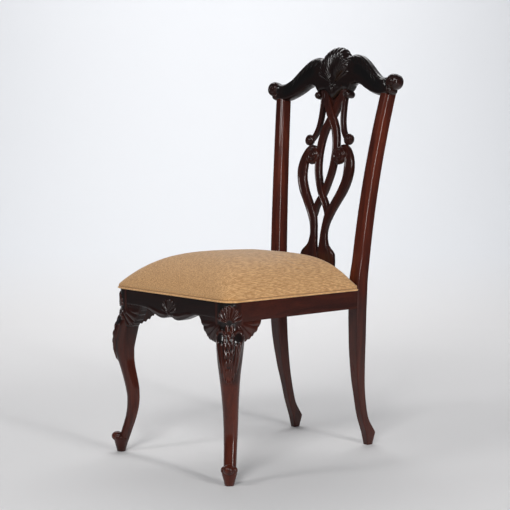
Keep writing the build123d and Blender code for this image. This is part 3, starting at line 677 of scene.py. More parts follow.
def add_volute(part, x, v, radius, middle, thickness, turns, hand, groove, stain_and_shade):
    """A scrolled disc on the back: a spiral groove round a button, with rounded edges."""
    spin = full_turn(96)
    rows = []

    def add_row(share, out):
        rows.append(back_points(x + radius * share * np.sin(spin), v + radius * share * np.cos(spin), out))

    for share in np.linspace(0.03, 1.0, 30):
        spiral = (share * turns - hand * spin / (2 * pi)) % 1.0
        sunk = groove * np.clip(1 - np.abs(spiral - 0.5) / 0.24, 0, 1) ** 1.3
        sunk = sunk * ease(0.26, 0.38, share) * ease(1.0, 0.86, share)
        button = 1.4 * knob(share, 0.0, 0.32)
        add_row(share, middle + thickness / 2 * sqrt(max(1 - share ** 6, 0.0)) + button - sunk)
    for share in np.linspace(1.0, 0.05, 14):
        add_row(share, middle - thickness / 2 * sqrt(max(1 - share ** 8, 0.0)))
    part.grid(np.array(rows), stain_and_shade, wrap=True, caps=True)


def add_scrolls(part, scrolls, surface):
    """Scrolls on both hands of a piece of the back, forward of its surface at (across, up)."""
    for side in (-1, 1):
        for x, v, radius, forward, thickness, turns, hand, groove, stain_and_shade in scrolls:
            add_volute(part, side * x, v, radius, surface(x, v) + forward, thickness, turns, side * hand,
                       groove, stain_and_shade)


class CHAIR_OT_crest_rail(bpy.types.Operator):
    """Carve the crest rail with its shell, shoulders and scrolled ears"""
    bl_idname = "chair.crest_rail"
    bl_label = "Crest Rail"

    def execute(self, context):
        look = context.scene.chair_carving
        shoulder = np.linspace(SHELL_HALF, CREST_HALF, 120)[1:]
        x = np.concatenate([-shoulder[::-1], np.linspace(-SHELL_HALF, SHELL_HALF, 190), shoulder])[:, None]
        a = np.abs(x)
        tip = np.arctan2(x, SCALLOP_REACH)
        scallop = np.cos(tip * look.shell_flutes * 180 / SHELL_SPREAD) * ease(40, 34, a)
        top = through(CREST_TOP, a) + scallop
        bottom = through(CREST_BOTTOM, a)
        middle, half = (top + bottom) / 2, (top - bottom) / 2
        lift = half_round(150)
        v = middle + half * lift
        carving = shell_carving(x, v, look) + shoulder_carving(a, v, top, bottom, look)
        front = crest_out(x) + (CREST_HALF_DEPTH + carving) * (1 - np.abs(lift) ** 5) ** (1 / 2.6)
        fall = half_round(50, -1)[1:-1]
        v_back = middle + half * fall
        depth = CREST_HALF_DEPTH + 3.0 * ease(140, 165, a)
        rear = crest_out(x) - depth * (1 - np.abs(fall) ** 7) ** (1 / 2.5)
        rings = np.concatenate([back_points(x, v, front), back_points(x, v_back, rear)], 1)
        # Painted shade: the rail, stained nearly to the glaze, is darker still in its carving's cuts and
        # hollows.
        recess_shade = ease(0.2, -1.6, np.concatenate([carving, np.zeros_like(v_back)], 1))
        part = PieceMesh()
        part.grid(rings, 0.92 + 0.08 * recess_shade, wrap=True, caps=True)
        add_scrolls(part, CREST_SCROLLS, lambda across, up: crest_out(across))
        piece = part.build("crest_rail_carved", mahogany("X"))
        settle(piece, "mahogany", "crest_rail")
        return {"FINISHED"}


# Splat

SIDE_STRAP = ((39, 28), (39, 8), (38.5, -10), (39, -35), (42, -62), (50, -87), (60, -101), (68, -107))
CROSS_STRAP = ((-40, 30), (-33, 12), (-22, -8), (-1, -43), (19, -82), (28, -122), (28.5, -156),
               (22.5, -196), (11.5, -225), (0, -247), (-16, -273), (-25, -300))
SIDE_WIDTH = (15.5, 12.0)
CROSS_WIDTH = ((-300, 17), (-247, 19.5), (-150, 21.5), (-40, 24.5), (30, 24))
CROSSINGS = (-40, -247)
CROSSING_REACH = 44.0
SCROLL_OUTER = ((50, -120), (62, -118), (75, -125), (90, -144), (100, -176), (98, -204), (86, -236),
                (63.5, -270), (45, -299), (32.5, -325), (29, -349), (35, -371), (60, -397), (62.5, -412),
                (62.5, -444))
SCROLL_INNER = ((48, -131), (57, -133), (63, -142), (67, -155), (68.5, -176), (66.5, -205), (53.5, -236),
                (33, -269), (17.5, -296), (12, -320), (8.5, -349), (6, -372), (1, -392), (-3, -410),
                (-3, -444))
SPLAT_BEND = ((-444, 2.0), (-330, 6.0), (-200, 4.6), (-110, 0.0), (30, -4.6))
SPLAT_SCROLLS = (  # as on the crest rail
    (71, -106, 14.6, 1.6, 15.5, 1.5, -1, 2.4, 0.68), (49, -147, 23.0, 4.2, 15.5, 2.2, 1, 2.6, 0.58))
STRAP_THICKNESS = 13.0


def splat_curve(v):
    """How far the splat's middle lies in front of the back's plane, as it bends up to the crest rail."""
    return through(SPLAT_BEND, v)


def add_band(part, left, right, lift, look, stain_and_shade, hollow=1.0):
    """A moulded strap of the splat between two flowing edges: a hollow face between raised edges."""

    def between(q):
        share = (q + 1) / 2
        x = left[:, :1] + (right[:, :1] - left[:, :1]) * share
        v = left[:, 1:] + (right[:, 1:] - left[:, 1:]) * share
        half = STRAP_THICKNESS / 2 * (1 - np.abs(q) ** 8) ** (1 / 3.0)
        return x, v, splat_curve(v) + lift[:, None], half

    q = half_round(27)
    x, v, middle, half = between(q)
    dish = look.strap_hollow * hollow * (1 - np.clip((np.abs(q) - 0.35) / 0.33, 0, 1) ** 2)
    front = back_points(x, v, middle + half * (1 - dish / (STRAP_THICKNESS / 2)))
    x, v, middle, half = between(half_round(13, -1)[1:-1])
    rear = back_points(x, v, middle - half)
    part.grid(np.concatenate([front, rear], 1), stain_and_shade, wrap=True, caps=True)


def strap_edges(line, width):
    """The two edges of a strap of a width along a line."""
    ahead = np.gradient(line, axis=0)
    ahead /= np.linalg.norm(ahead, axis=1, keepdims=True)
    aside = np.stack([-ahead[:, 1], ahead[:, 0]], 1)
    half = np.asarray(width).reshape(-1, 1) / 2
    return line + aside * half, line - aside * half


class CHAIR_OT_splat(bpy.types.Operator):
    """Weave the splat's straps between the crest rail and the shoe"""
    bl_idname = "chair.splat"
    bl_label = "Splat"

    def execute(self, context):
        look = context.scene.chair_carving
        part = PieceMesh()
        for side in (-1, 1):
            line = flowing(SIDE_STRAP, 120) * (side, 1)
            left, right = strap_edges(line, np.linspace(*SIDE_WIDTH, 120))
            add_band(part, left, right, np.full(120, -0.8), look, stain_and_shade=0.64)
            line = flowing(CROSS_STRAP, 260) * (side, 1)
            up = line[:, 1]
            left, right = strap_edges(line, through(CROSS_WIDTH, up))
            over, under = (bump(up, crossing, CROSSING_REACH) for crossing in CROSSINGS)
            sink = -1.6 * ease(-272, -292, up)
            add_band(part, left, right, look.strap_weave * side * (over - under) + sink, look, stain_and_shade=0.56)
            outer, inner = (flowing(line, 240) * (side, 1) for line in (SCROLL_OUTER, SCROLL_INNER))
            add_band(part, outer, inner, np.zeros(240), look, stain_and_shade=0.52, hollow=1.6)
        add_scrolls(part, SPLAT_SCROLLS, lambda across, up: splat_curve(up))
        head = rounded_rectangle(64, 8, 2, 2)
        rows = [back_points(head[:, 0], level, head[:, 1] - 5.5) for level in (-24, 12)]
        part.grid(np.array(rows), 0.65, wrap=True, caps=True)
        piece = part.build("splat_strapwork", mahogany("Z"))
        settle(piece, "mahogany", "splat")
        return {"FINISHED"}


# Front legs

LEG_PROFILE = (  # height, outer line, inner line, half width, all on the corner's diagonal
    (14, 7, -14, 12.5), (26, 6, -18, 13.5), (40, 2.5, -23, 14.2), (56, -2.2, -28.4, 14.4),
    (76, -8.5, -35.5, 14.8), (95, -13.0, -41.0, 15.4), (115, -15.4, -45.0, 16.0), (135, -15.8, -46.6, 16.7),
    (154, -13.2, -46.2, 17.4), (174, -8.9, -43.5, 18.4), (193, -3.9, -39.8, 19.6), (213, 1.6, -36.2, 21.0),
    (233, 8.6, -34.2, 22.8), (252, 14.6, -34.2, 24.8), (270, 16.8, -37.0, 27.2), (288, 16.2, -41.0, 29.0),
    (311, 11.4, -46.0, 31.0), (332, 6.0, -49.0, 32.2), (352, 0.5, -49.4, 30.5), (403, 0.0, -49.4, 30.5))
BLOCK_SIDE = 46.0
BLOCK_RADIUS = 29.0
PALMETTE_ROOT = 357.0
PALMETTE_SQUEEZE = 0.8  # of its width
KNEE_BLADES = (  # across at the top, across at the tip, height of the tip, height of the top
    (0.0, 0.0, 218, 266), (9.2, 3.8, 222, 331), (17.2, 8.8, 230, 318), (25.2, 15.5, 246, 322))
KNEE_HUSKS = (332, 312, 293, 275)
HUSK_SPACING = 19.5
FOOT_PAD = (  # height, radius
    (0.0, 9.6), (0.6, 10.6), (8, 12.2), (16, 14.4), (24, 16.6), (30, 17.8), (35, 17.4), (39, 14.5))
TOE_BALLS = (  # outwards, across, height, radii, stain
    (9.5, 0.0, 37.0, (14.3, 13.2, 12.0), 0.12), (5.0, -12.0, 35.0, (8.6, 6.8, 8.2), 0.15),
    (5.0, 12.0, 35.0, (8.6, 6.8, 8.2), 0.15))


def leg_point(u, w, height):
    """Points on the corner's diagonal: outwards from the foot's middle, across it, and up."""
    u, w, height = np.broadcast_arrays(u, w, height)
    return np.stack([FOOT_X + (u + w) / sqrt(2), FOOT_Y + (w - u) / sqrt(2), height], -1)


def block_outline():
    """The leg's square block in plan, as (across, outwards) from the foot's middle."""
    side = np.array((-TAPER, 1.0)) / sqrt(1 + TAPER ** 2)
    corner = np.array((HALF_FRONT, FRONT_Y))
    run = BLOCK_RADIUS / tan((pi / 2 - np.arctan(TAPER)) / 2)
    centre = corner + np.array((-run, BLOCK_RADIUS))
    stop = np.arctan2(*(corner + side * run - centre)[::-1])
    outline = [corner + np.array((-BLOCK_SIDE, 0.0))]
    for turn in np.linspace(-pi / 2, stop, 24):
        outline.append(centre + BLOCK_RADIUS * np.array((cos(turn), sin(turn))))
    outline.append(corner + side * BLOCK_SIDE)
    x, y = (np.array(outline) - (FOOT_X, FOOT_Y)).T
    return np.stack([(x + y) / sqrt(2), (x - y) / sqrt(2)], 1)


def drop(across, up, wide, tall):
    """A raised drop of height 1 on the knee, from distances across and up from its middle."""
    return np.clip(1 - (across / wide) ** 2 - (up / tall) ** 2, 0, 1) ** 0.8


def knee_carving(w, height, look):
    """Relief on the leg's front: a palmette, drops, curling leaves, a chain of husks and long blades."""
    a = np.abs(w)
    rise = look.leaf_relief
    reach = np.hypot(w / PALMETTE_SQUEEZE, height - PALMETTE_ROOT)
    turn = fan_turn(w / PALMETTE_SQUEEZE, height - PALMETTE_ROOT)
    petals = np.abs(np.cos(np.radians(turn) * 10))
    tip = 40 - 8 * (turn / 80) ** 2 + 2 * petals
    fan = window(reach, 6, 13, tip - 6, tip) * ease(82, 76, np.abs(turn)) * (height > PALMETTE_ROOT - 5)
    palmette = fan * (0.8 + 1.1 * rise * petals ** 0.8)
    drops = 1.3 * rise * drop(a - 5.4, height - 345, 4.8, 10.5)
    husks = 1.3 * rise * sum(drop(a, height - up, 5.2, 10.5) for up in KNEE_HUSKS)
    leaf = 1.15 * rise * bump(np.hypot(a - 19.0, height - 331), 9.0, 4.6) * ease(328, 333, height)
    blades = 0.0
    for top_w, tip_w, low, high in KNEE_BLADES:
        middle = tip_w + (top_w - tip_w) * ease(low, high, height)
        wide = 1.0 + 3.6 * ease(low, low + 24, height)
        ridge = bump(a, middle, wide) * window(height, low, low + 9, high - 8, high)
        if top_w < 10:
            ridge = ridge * (0.75 + 0.35 * np.cos(2 * pi * (height - KNEE_HUSKS[0]) / HUSK_SPACING))
        blades = np.maximum(blades, 1.05 * rise * ridge)
    return np.maximum(np.maximum(palmette + drops, husks), np.maximum(leaf, blades))


def front_leg(look):
    """The right-hand cabriole leg, its block and its scroll foot."""
    profile = np.array(LEG_PROFILE)
    height = np.concatenate([np.linspace(14, 205, 120)[:-1], np.linspace(205, 404, 230)])[:, None]
    outer, inner, half = (through(profile[:, (0, k)], height) for k in (1, 2, 3))
    outline = block_outline()
    block = ease(318, 352, height)
    w_low = half * (1 - block) - block * outline[0, 0]
    w_high = half * (1 - block) + block * outline[-1, 0]
    t = half_round(121)
    w = np.where(t < 0, t * w_low, t * w_high)
    middle = inner + 0.46 * (outer - inner)
    round_front = middle + (outer - middle) * (1 - np.abs(t) ** 2.1) ** (1 / 2.1)
    square_front = np.interp(w, outline[:, 0], outline[:, 1])
    front = round_front * (1 - block) + square_front * block
    t_back = half_round(61, -1)[1:-1]
    w_back = np.where(t_back < 0, t_back * w_low, t_back * w_high)
    edge = np.where(t_back < 0, front[:, :1], front[:, -1:])
    back = edge + (inner - edge) * (1 - np.abs(t_back) ** 1.25) ** (1 / 1.25)
    face = leg_point(front, w, height)
    carve = knee_carving(w, height, look) * ease(1.0, 0.9, np.abs(t)) * ease(402, 398, height)
    face = face + surface_normals(face) * carve[..., None]
    rings = np.concatenate([face, leg_point(back, w_back, height)], 1)
    seat = SEAT_HEIGHT - (rings[..., 1] - FRONT_Y) * tan(SEAT_TILT)
    rings[..., 2] = np.minimum(rings[..., 2], seat)
    # Painted shade between the knee's raised carving, fading off towards the face's edges.
    recess_shade = 0.4 * ease(1.2, 0.2, carve) * ease(216, 236, height) * ease(1.0, 0.75, np.abs(t))
    # A base stain, deepening up the knee.
    recess_shade = recess_shade + 0.1 + 0.47 * ease(215, 285, height)
    # Painted light: the block's outer side is lighter, where the key light falls on the right-hand leg.
    recess_shade = recess_shade * (1 - 0.55 * ease(6, 30, w) * ease(325, 352, height))
    rear_stain = np.broadcast_to(0.6 * ease(215, 300, height), back.shape)
    part = PieceMesh()
    part.grid(rings, np.concatenate([recess_shade, rear_stain], 1), wrap=True, caps=True)
    add_foot(part)
    return part


def add_ball(part, u, w, height, radii, stain_and_shade):
    """A rounded knob on the diagonal."""
    spin = full_turn(48)
    rows = []
    for lean in np.linspace(-pi / 2 + 0.04, pi / 2 - 0.04, 29):
        out = u + radii[0] * cos(lean) * np.cos(spin)
        across = w + radii[1] * cos(lean) * np.sin(spin)
        rows.append(leg_point(out, across, height + radii[2] * sin(lean)))
    part.grid(np.array(rows), stain_and_shade, wrap=True, caps=True)


def add_foot(part):
    """The scroll toe on its tapered pad."""
    spin = full_turn(64)
    rows = [leg_point(radius * np.cos(spin), radius * np.sin(spin), height) for height, radius in FOOT_PAD]
    part.grid(np.array(rows), 0.12, wrap=True, caps=True)
    for ball in TOE_BALLS:
        add_ball(part, *ball)


class CHAIR_OT_front_legs(bpy.types.Operator):
    """Carve the two cabriole front legs"""
    bl_idname = "chair.front_legs"
    bl_label = "Front Legs"

    def execute(self, context):
        right = front_leg(context.scene.chair_carving)
        for side, part in (("right", right), ("left", right.mirror())):
            piece = part.build(f"{side}_front_leg_carved", mahogany("Z"))
            settle(piece, "mahogany", f"{side}_front_leg")
        return {"FINISHED"}


# Knee blocks and front rail

FRONT_KNEE_EDGE = ((108, 366), (113, 361), (117, 354), (123, 346), (129, 337), (136, 328), (145, 320),
                   (160, 314), (188, 309))
SIDE_KNEE_EDGE = ((30, 310), (46, 312), (60, 315), (74, 320), (86, 327), (97, 336), (106, 347), (112, 358))
RAIL_EDGE = ((0, 355), (9, 352.5), (20, 348.5), (30, 347.5), (46, 350), (64, 356), (82, 362.5), (98, 366),
             (175, 366))
LEAF_TOP = 374.0
APRON_ROOT = 361.0


def front_points(x, height, out):
    """Points on the front of the seat frame: across, up, and forward of the front face."""
    x, height, out = np.broadcast_arrays(x, height, out)
    return np.stack([x, FRONT_Y - out, height], -1)


def side_points(along, height, out):
    """Points on the right side of the seat frame: back from the corner, up, and outwards of the side."""
    along, height, out = np.broadcast_arrays(along, height, out)
    length = sqrt(1 + TAPER ** 2)
    return np.stack([HALF_FRONT + (out - TAPER * along) / length,
                     FRONT_Y + (along + TAPER * out) / length, height], -1)


def carved_board(place, stations, low, high, face, back, carving, stain_and_shade, roll):
    """A board with a carved face between a rounded lower edge and a straight upper edge."""
    stations, low = stations[:, None], low[:, None]
    height = low + (high - low) * np.linspace(0, 1, 64) ** 1.25
    over = np.clip(1 - (height - low) / (roll + 1.0), 0, 1)
    relief = carving(stations, height)
    out = face + relief * (1 - 0.7 * over ** 2) - roll * (1 - np.sqrt(1 - over ** 2))
    height_back = low + (high - low) * np.linspace(1, 0, 14)
    rings = np.concatenate([place(stations, height, out), place(stations, height_back, back)], 1)
    # Painted shade in the cuts, where the relief sinks below the board's face.
    tone = stain_and_shade + 0.3 * ease(0.4, -0.8, relief)
    tone = np.concatenate([tone, np.full(height_back.shape, stain_and_shade)], 1)
    part = PieceMesh()
    part.grid(rings, np.clip(tone, 0, 0.95), wrap=True, caps=True)
    return part


def leaf_lobes(away, down, rise):
    """Rounded lobes of a leaf below the rail with narrow cuts between them, flush at the top."""
    turn = np.degrees(np.arctan2(down, np.maximum(away, 1e-3)))
    reach = np.hypot(away, down)
    lobe = np.abs(np.cos(np.radians(turn + 0.3 * reach) * 10))
    swell = 3.5 * ease(75, 30, reach)
    return (swell + rise * (0.9 * lobe ** 0.6 - 0.4)) * ease(14, 28, down)


class CHAIR_OT_knee_blocks(bpy.types.Operator):
    """Carve the leaf blocks beside the knees"""
    bl_idname = "chair.knee_blocks"
    bl_label = "Knee Blocks"

    def execute(self, context):
        rise = context.scene.chair_carving.leaf_relief
        x = np.linspace(108.5, 188, 120)
        low = through(FRONT_KNEE_EDGE, x) + 1.6 * np.cos(2 * pi * x / 9.0) * window(x, 112, 118, 150, 164)
        # The front board's stain is deeper than the side board's: painted shade on the face turned from the
        # key light, over the wood's stain.
        front = carved_board(front_points, x, low, high=368.0, face=-1.2, back=-22.0,
                             carving=lambda a, h: leaf_lobes(190 - a, LEAF_TOP - h, rise),
                             stain_and_shade=0.78, roll=5.0)
        along = np.linspace(30, 112, 120)
        low = through(SIDE_KNEE_EDGE, along) + 1.8 * np.cos(2 * pi * along / 11.0) * ease(44, 54, along)
        side = carved_board(side_points, along, low, high=360.5, face=-2.8, back=-24.0,
                            carving=lambda a, h: leaf_lobes(a - 30, LEAF_TOP - h, rise),
                            stain_and_shade=0.45, roll=5.0)
        for name, part in (("front", front), ("side", side)):
            for hand, twin in (("right", part), ("left", part.mirror())):
                piece = twin.build(f"{hand}_{name}_knee_block_carved", mahogany("Z"))
                settle(piece, "mahogany", f"{hand}_{name}_knee_block")
        return {"FINISHED"}


def apron_carving(x, height):
    """A small shell over the middle of the front rail, with a leaf along each lobe."""
    a = np.abs(x)
    reach = np.hypot(x * 0.95, height - APRON_ROOT)
    turn = fan_turn(x * 0.95, height - APRON_ROOT)
    ribs = np.abs(np.cos(np.radians(turn) * 8))
    tip = 33 - 9 * (turn / 75) ** 2 + 2.0 * ribs
    fan = window(reach, 3, 9, tip - 3, tip) * (height > APRON_ROOT + 1) * ease(78, 70, np.abs(turn))
    shell = fan * (1.0 + 3.6 * ribs)
    button = 3.2 * knob(x, height - APRON_ROOT, 5.5)
    leaf = 2.2 * bump(height, 358 + 9 * ease(26, 82, a), 6.0) * window(a, 9, 20, 62, 88)
    return shell + button + leaf


class CHAIR_OT_front_rail(bpy.types.Operator):
    """Carve the front seat rail with its scalloped lower edge"""
    bl_idname = "chair.front_rail"
    bl_label = "Front Rail"

    def execute(self, context):
        x = np.linspace(-174, 174, 360)
        low = through(RAIL_EDGE, np.abs(x))
        # Stained as deep as the front knee blocks: painted shade on this front-facing board, over the
        # wood's stain.
        part = carved_board(front_points, x, low, high=402.8, face=-1.2, back=-25.0,
                            carving=apron_carving, stain_and_shade=0.82, roll=3.0)
        piece = part.build("front_seat_rail_carved", mahogany("X"))
        settle(piece, "mahogany", "front_seat_rail")
        return {"FINISHED"}


# Rails and inner pieces that keep the shape of their solids


class CHAIR_OT_frame_finish(bpy.types.Operator):
    """Finish the plain rails, the shoe, the inner blocks, the board and the screws"""
    bl_idname = "chair.frame_finish"
    bl_label = "Frame Finish"

    def execute(self, context):
        block_wood = raw_wood("raw block wood", ((0.36, 0.22, 0.12), (0.24, 0.13, 0.065)), "X")
        plywood = raw_wood("raw plywood", ((0.52, 0.37, 0.21), (0.38, 0.25, 0.13)), "Y")
        steel = two_tone("zinc screw steel", lambda tree: noise(tree, 900.0, 3.0),
                         ((0.62, 0.60, 0.52), (0.44, 0.43, 0.40)), (0.3, 0.7), (0.25, 0.5), metallic=1.0)
        finishes = {
            "left_side_rail": mahogany("Y", 0.42), "right_side_rail": mahogany("Y", 0.42),
            "rear_seat_rail": mahogany("X", 0.2), "splat_shoe": mahogany("X", 0.3),
            "seat_board": plywood, "corner_block_screws": steel, "seat_screws": steel,
        }
        for side in ("left", "right"):
            for end in ("front", "rear"):
                finishes[f"{end}_{side}_corner_block"] = block_wood
        for name, material in finishes.items():
            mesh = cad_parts[name].data
            mesh.materials.clear()
            mesh.materials.append(material)
        return {"FINISHED"}


# Seat

PAD_LAP = 2.0  # over the rails' outer faces
PAD_REAR = 458.5
NOTCH_X = 131.0  # inner side of the notch round a post
COVER_INSET = -0.6
COVER_BASE = 0.4
FOAM_INSET = 12.0
FOAM_BASE = 13.4
FOAM_EDGE_LIFT = 2.6
HEM_INSET = 30.5
DUST_LEVELS = (0.2, 1.0)
WELT_RISE = 2.8
WELT_RADII = (2.4, 2.2)
SETTLE_FRAMES = 20


def pad_ring(keep, inset):
    """The pad's plan, drawn in by an inset and to a share, as (across, back from the front face)."""
    front = inset - PAD_LAP
    notch = SEAT_DEPTH - 1.0 - inset
    rear = PAD_REAR - inset
    wide = (PAD_LAP - inset) * sqrt(1 + TAPER ** 2)
    inner = NOTCH_X - max(inset, 0.5)
    corners = [(HALF_FRONT - TAPER * front + wide, front, 31.0),
               (HALF_FRONT - TAPER * notch + wide, notch, 6.0), (inner, notch, 0.5), (inner, rear, 3.0)]
    corners = corners + [(-x, y, r) for x, y, r in reversed(corners)]
    middle = (front + rear) / 2
    points = np.array([(x * keep, middle + (y - middle) * keep) for x, y, _ in corners])
    radii = [r * keep + 220.0 * (1 - keep) * keep if r > 2 else r for _, _, r in corners]
    outline = []
    for i, radius in enumerate(radii):
        here, before, after = points[i], points[i - 1], points[(i + 1) % len(points)]
        to_before, to_after = before - here, after - here
        limit = 0.45 * min(np.linalg.norm(to_before), np.linalg.norm(to_after))
        to_before = to_before / np.linalg.norm(to_before)
        to_after = to_after / np.linalg.norm(to_after)
        half = np.arccos(np.clip(to_before @ to_after, -1, 1)) / 2
        run = min(radius / np.tan(half), limit)
        start, stop = here + to_before * run, here + to_after * run
        for share in np.linspace(0, 1, 7):
            outline.append((1 - share) ** 2 * start + 2 * share * (1 - share) * here + share ** 2 * stop)
        half_way = stop + (after - stop) * 0.5
        outline.extend([(stop + half_way) / 2, half_way])
    return np.array(outline)


def seat_ring(keep, inset, rise):
    """The pad's plan laid at a rise above the rails."""
    ring = pad_ring(keep, inset)
    return seat_points(ring[:, 0], ring[:, 1], rise)


def pad_form(crown, edge, inset, low):
    """The closed form of the seat's filling, from its flat base to its crown."""
    rows = [seat_ring(share, inset, low) for share in np.linspace(0.05, 0.95, 8)]
    rows += [seat_ring(1.0, inset, rise) for rise in np.linspace(low, edge, 4)]
    for share in np.linspace(0, 1, 30)[1:] ** 1.4:
        rise = edge + (crown - edge) * (1 - (1 - share) ** 3.8)
        rows.append(seat_ring(1 - 0.94 * share, inset, rise))
    part = PieceMesh()
    part.grid(np.array(rows), 0.0, wrap=True, caps=True)
    return part


def height_over_rails(points):
    """How far points, in metres, lie above the plane of the rail tops, in mm."""
    y, z = points[:, 1] / MM - FRONT_Y, points[:, 2] / MM - SEAT_HEIGHT
    return y * sin(SEAT_TILT) + z * cos(SEAT_TILT)


def fill_with_cloth(piece, look):
    """Remesh a form and let cloth under pressure settle over it, with its base held."""
    scene = bpy.context.scene
    bpy.context.view_layer.objects.active = piece
    piece.data.remesh_voxel_size = look.voxel * MM
    piece.data.use_remesh_preserve_volume = True
    bpy.ops.object.voxel_remesh()
    mesh = piece.data
    start = np.empty(len(mesh.vertices) * 3)
    mesh.vertices.foreach_get("co", start)
    start = start.reshape(-1, 3)
    held = piece.vertex_groups.new(name="held")
    rise = height_over_rails(start)
    for index in np.nonzero(rise < 0.8 * look.edge_height)[0]:
        held.add([int(index)], 1.0, "REPLACE")
    cloth = piece.modifiers.new("Filling", "CLOTH")
    cloth.settings.quality = 6
    cloth.settings.mass = 0.25
    cloth.settings.tension_stiffness = 30
    cloth.settings.compression_stiffness = 30
    cloth.settings.bending_stiffness = 2.0
    cloth.settings.use_pressure = True
    cloth.settings.uniform_pressure_force = look.pressure
    cloth.settings.effector_weights.gravity = 0.0
    cloth.settings.vertex_group_mass = "held"
    cloth.point_cache.frame_start = 1
    cloth.point_cache.frame_end = SETTLE_FRAMES
    for frame_number in range(1, SETTLE_FRAMES + 1):
        scene.frame_set(frame_number)
    settled = piece.evaluated_get(bpy.context.evaluated_depsgraph_get())
    moved = np.empty(len(mesh.vertices) * 3)
    settled.data.vertices.foreach_get("co", moved)
    shift = moved.reshape(-1, 3) - start
    length = np.linalg.norm(shift, axis=1, keepdims=True)
    shift *= np.minimum(1.0, look.most_swell * MM / np.maximum(length, 1e-9))
    shift *= ease(0.5, 2.4, rise / look.edge_height)[:, None]
    piece.modifiers.remove(cloth)
    scene.frame_set(1)
    mesh.vertices.foreach_set("co", (start + shift).reshape(-1))
    mesh.update()


def foam_cells(tree):
    return node(tree, "ShaderNodeTexVoronoi", {"Scale": 1400.0}).outputs["Distance"]


def smooth_subdivided(piece):
    """Shade a piece smoothly on a finer grid."""
    piece.data.polygons.foreach_set("use_smooth", np.ones(len(piece.data.polygons), bool))
    finer = piece.modifiers.new("Finer", "SUBSURF")
    finer.levels = 1
    finer.render_levels = 1


class CHAIR_OT_seat(bpy.types.Operator):
    """Fill and cover the seat"""
    bl_idname = "chair.seat"
    bl_label = "Seat"

    def execute(self, context):
        look = context.scene.chair_seat
        cover = pad_form(look.crown_height, look.edge_height, COVER_INSET, COVER_BASE)
        piece = cover.build("seat_cover_filled", upholstery("tan chenille"), 180)
        fill_with_cloth(piece, look)
        smooth_subdivided(piece)
        settle(piece, "upholstery", "seat_cover")
        foam = two_tone("open foam", foam_cells, ((0.78, 0.70, 0.46), (0.60, 0.52, 0.30)), (0.0, 1.0),
                        (0.85, 1.0))
        filling = pad_form(look.crown_height - FOAM_INSET, look.edge_height + FOAM_EDGE_LIFT, FOAM_INSET,
                           FOAM_BASE)
        filling = filling.build("seat_foam_crown", foam, 180)
        settle(filling, "foam", "seat_foam")
        self.welt()
        self.dust_cover()
        return {"FINISHED"}

    def welt(self):
        """The folded edge of the cloth along the rails."""
        path = seat_ring(1.0, COVER_INSET, WELT_RISE)
        along = np.roll(path, 1, 0) - np.roll(path, -1, 0)
        outwards = np.stack([-along[:, 1], along[:, 0], np.zeros(len(path))], 1)
        outwards /= np.maximum(np.linalg.norm(outwards, axis=1, keepdims=True), 1e-9)
        spin = full_turn(14)[:, None]
        tube = (path[:, None] + WELT_RADII[0] * np.cos(spin) * outwards[:, None]
                + WELT_RADII[1] * np.sin(spin) * np.array((0, 0, 1.0)))
        part = PieceMesh()
        part.grid(np.concatenate([tube, tube[:1]]), 0.0, wrap=True)
        # A lighter copy of the cloth: painted light along the welt's fold.
        piece = part.build("seat_welt", upholstery("tan chenille welt painted light", 1.25), 180)
        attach(piece, "root")

    def dust_cover(self):
        """The thin cloth that closes the seat from below."""
        shares = np.linspace(0.04, 1, 14)
        rows = [seat_ring(share, HEM_INSET, DUST_LEVELS[0]) for share in shares]
        rows += [seat_ring(share, HEM_INSET, DUST_LEVELS[1]) for share in reversed(shares)]
        part = PieceMesh()
        part.grid(np.array(rows), 0.0, wrap=True, caps=True)
        cloth = two_tone("black dust cloth", lambda tree: noise(tree, 1500.0, 3.0),
                         ((0.018, 0.018, 0.020), (0.045, 0.045, 0.048)), (0.3, 0.7), (0.8, 0.95))
        piece = part.build("seat_dust_cloth", cloth, 60)
        settle(piece, "dust_cloth", "seat_dust_cover")


# Studio

SENSOR_WIDTH = 36.0
SWEEP_FRONT = -3.6
SWEEP_BEND = 2.2  # where the floor starts to curve up, in m behind the chair
SWEEP_RADIUS = 1.6
SWEEP_TOP = 4.2
SWEEP_HALF = 2.7
WALL_START = 0.25
ROOM_COLOUR = (0.80, 0.84, 0.92, 1.0)
ROOM_STRENGTH = 0.11


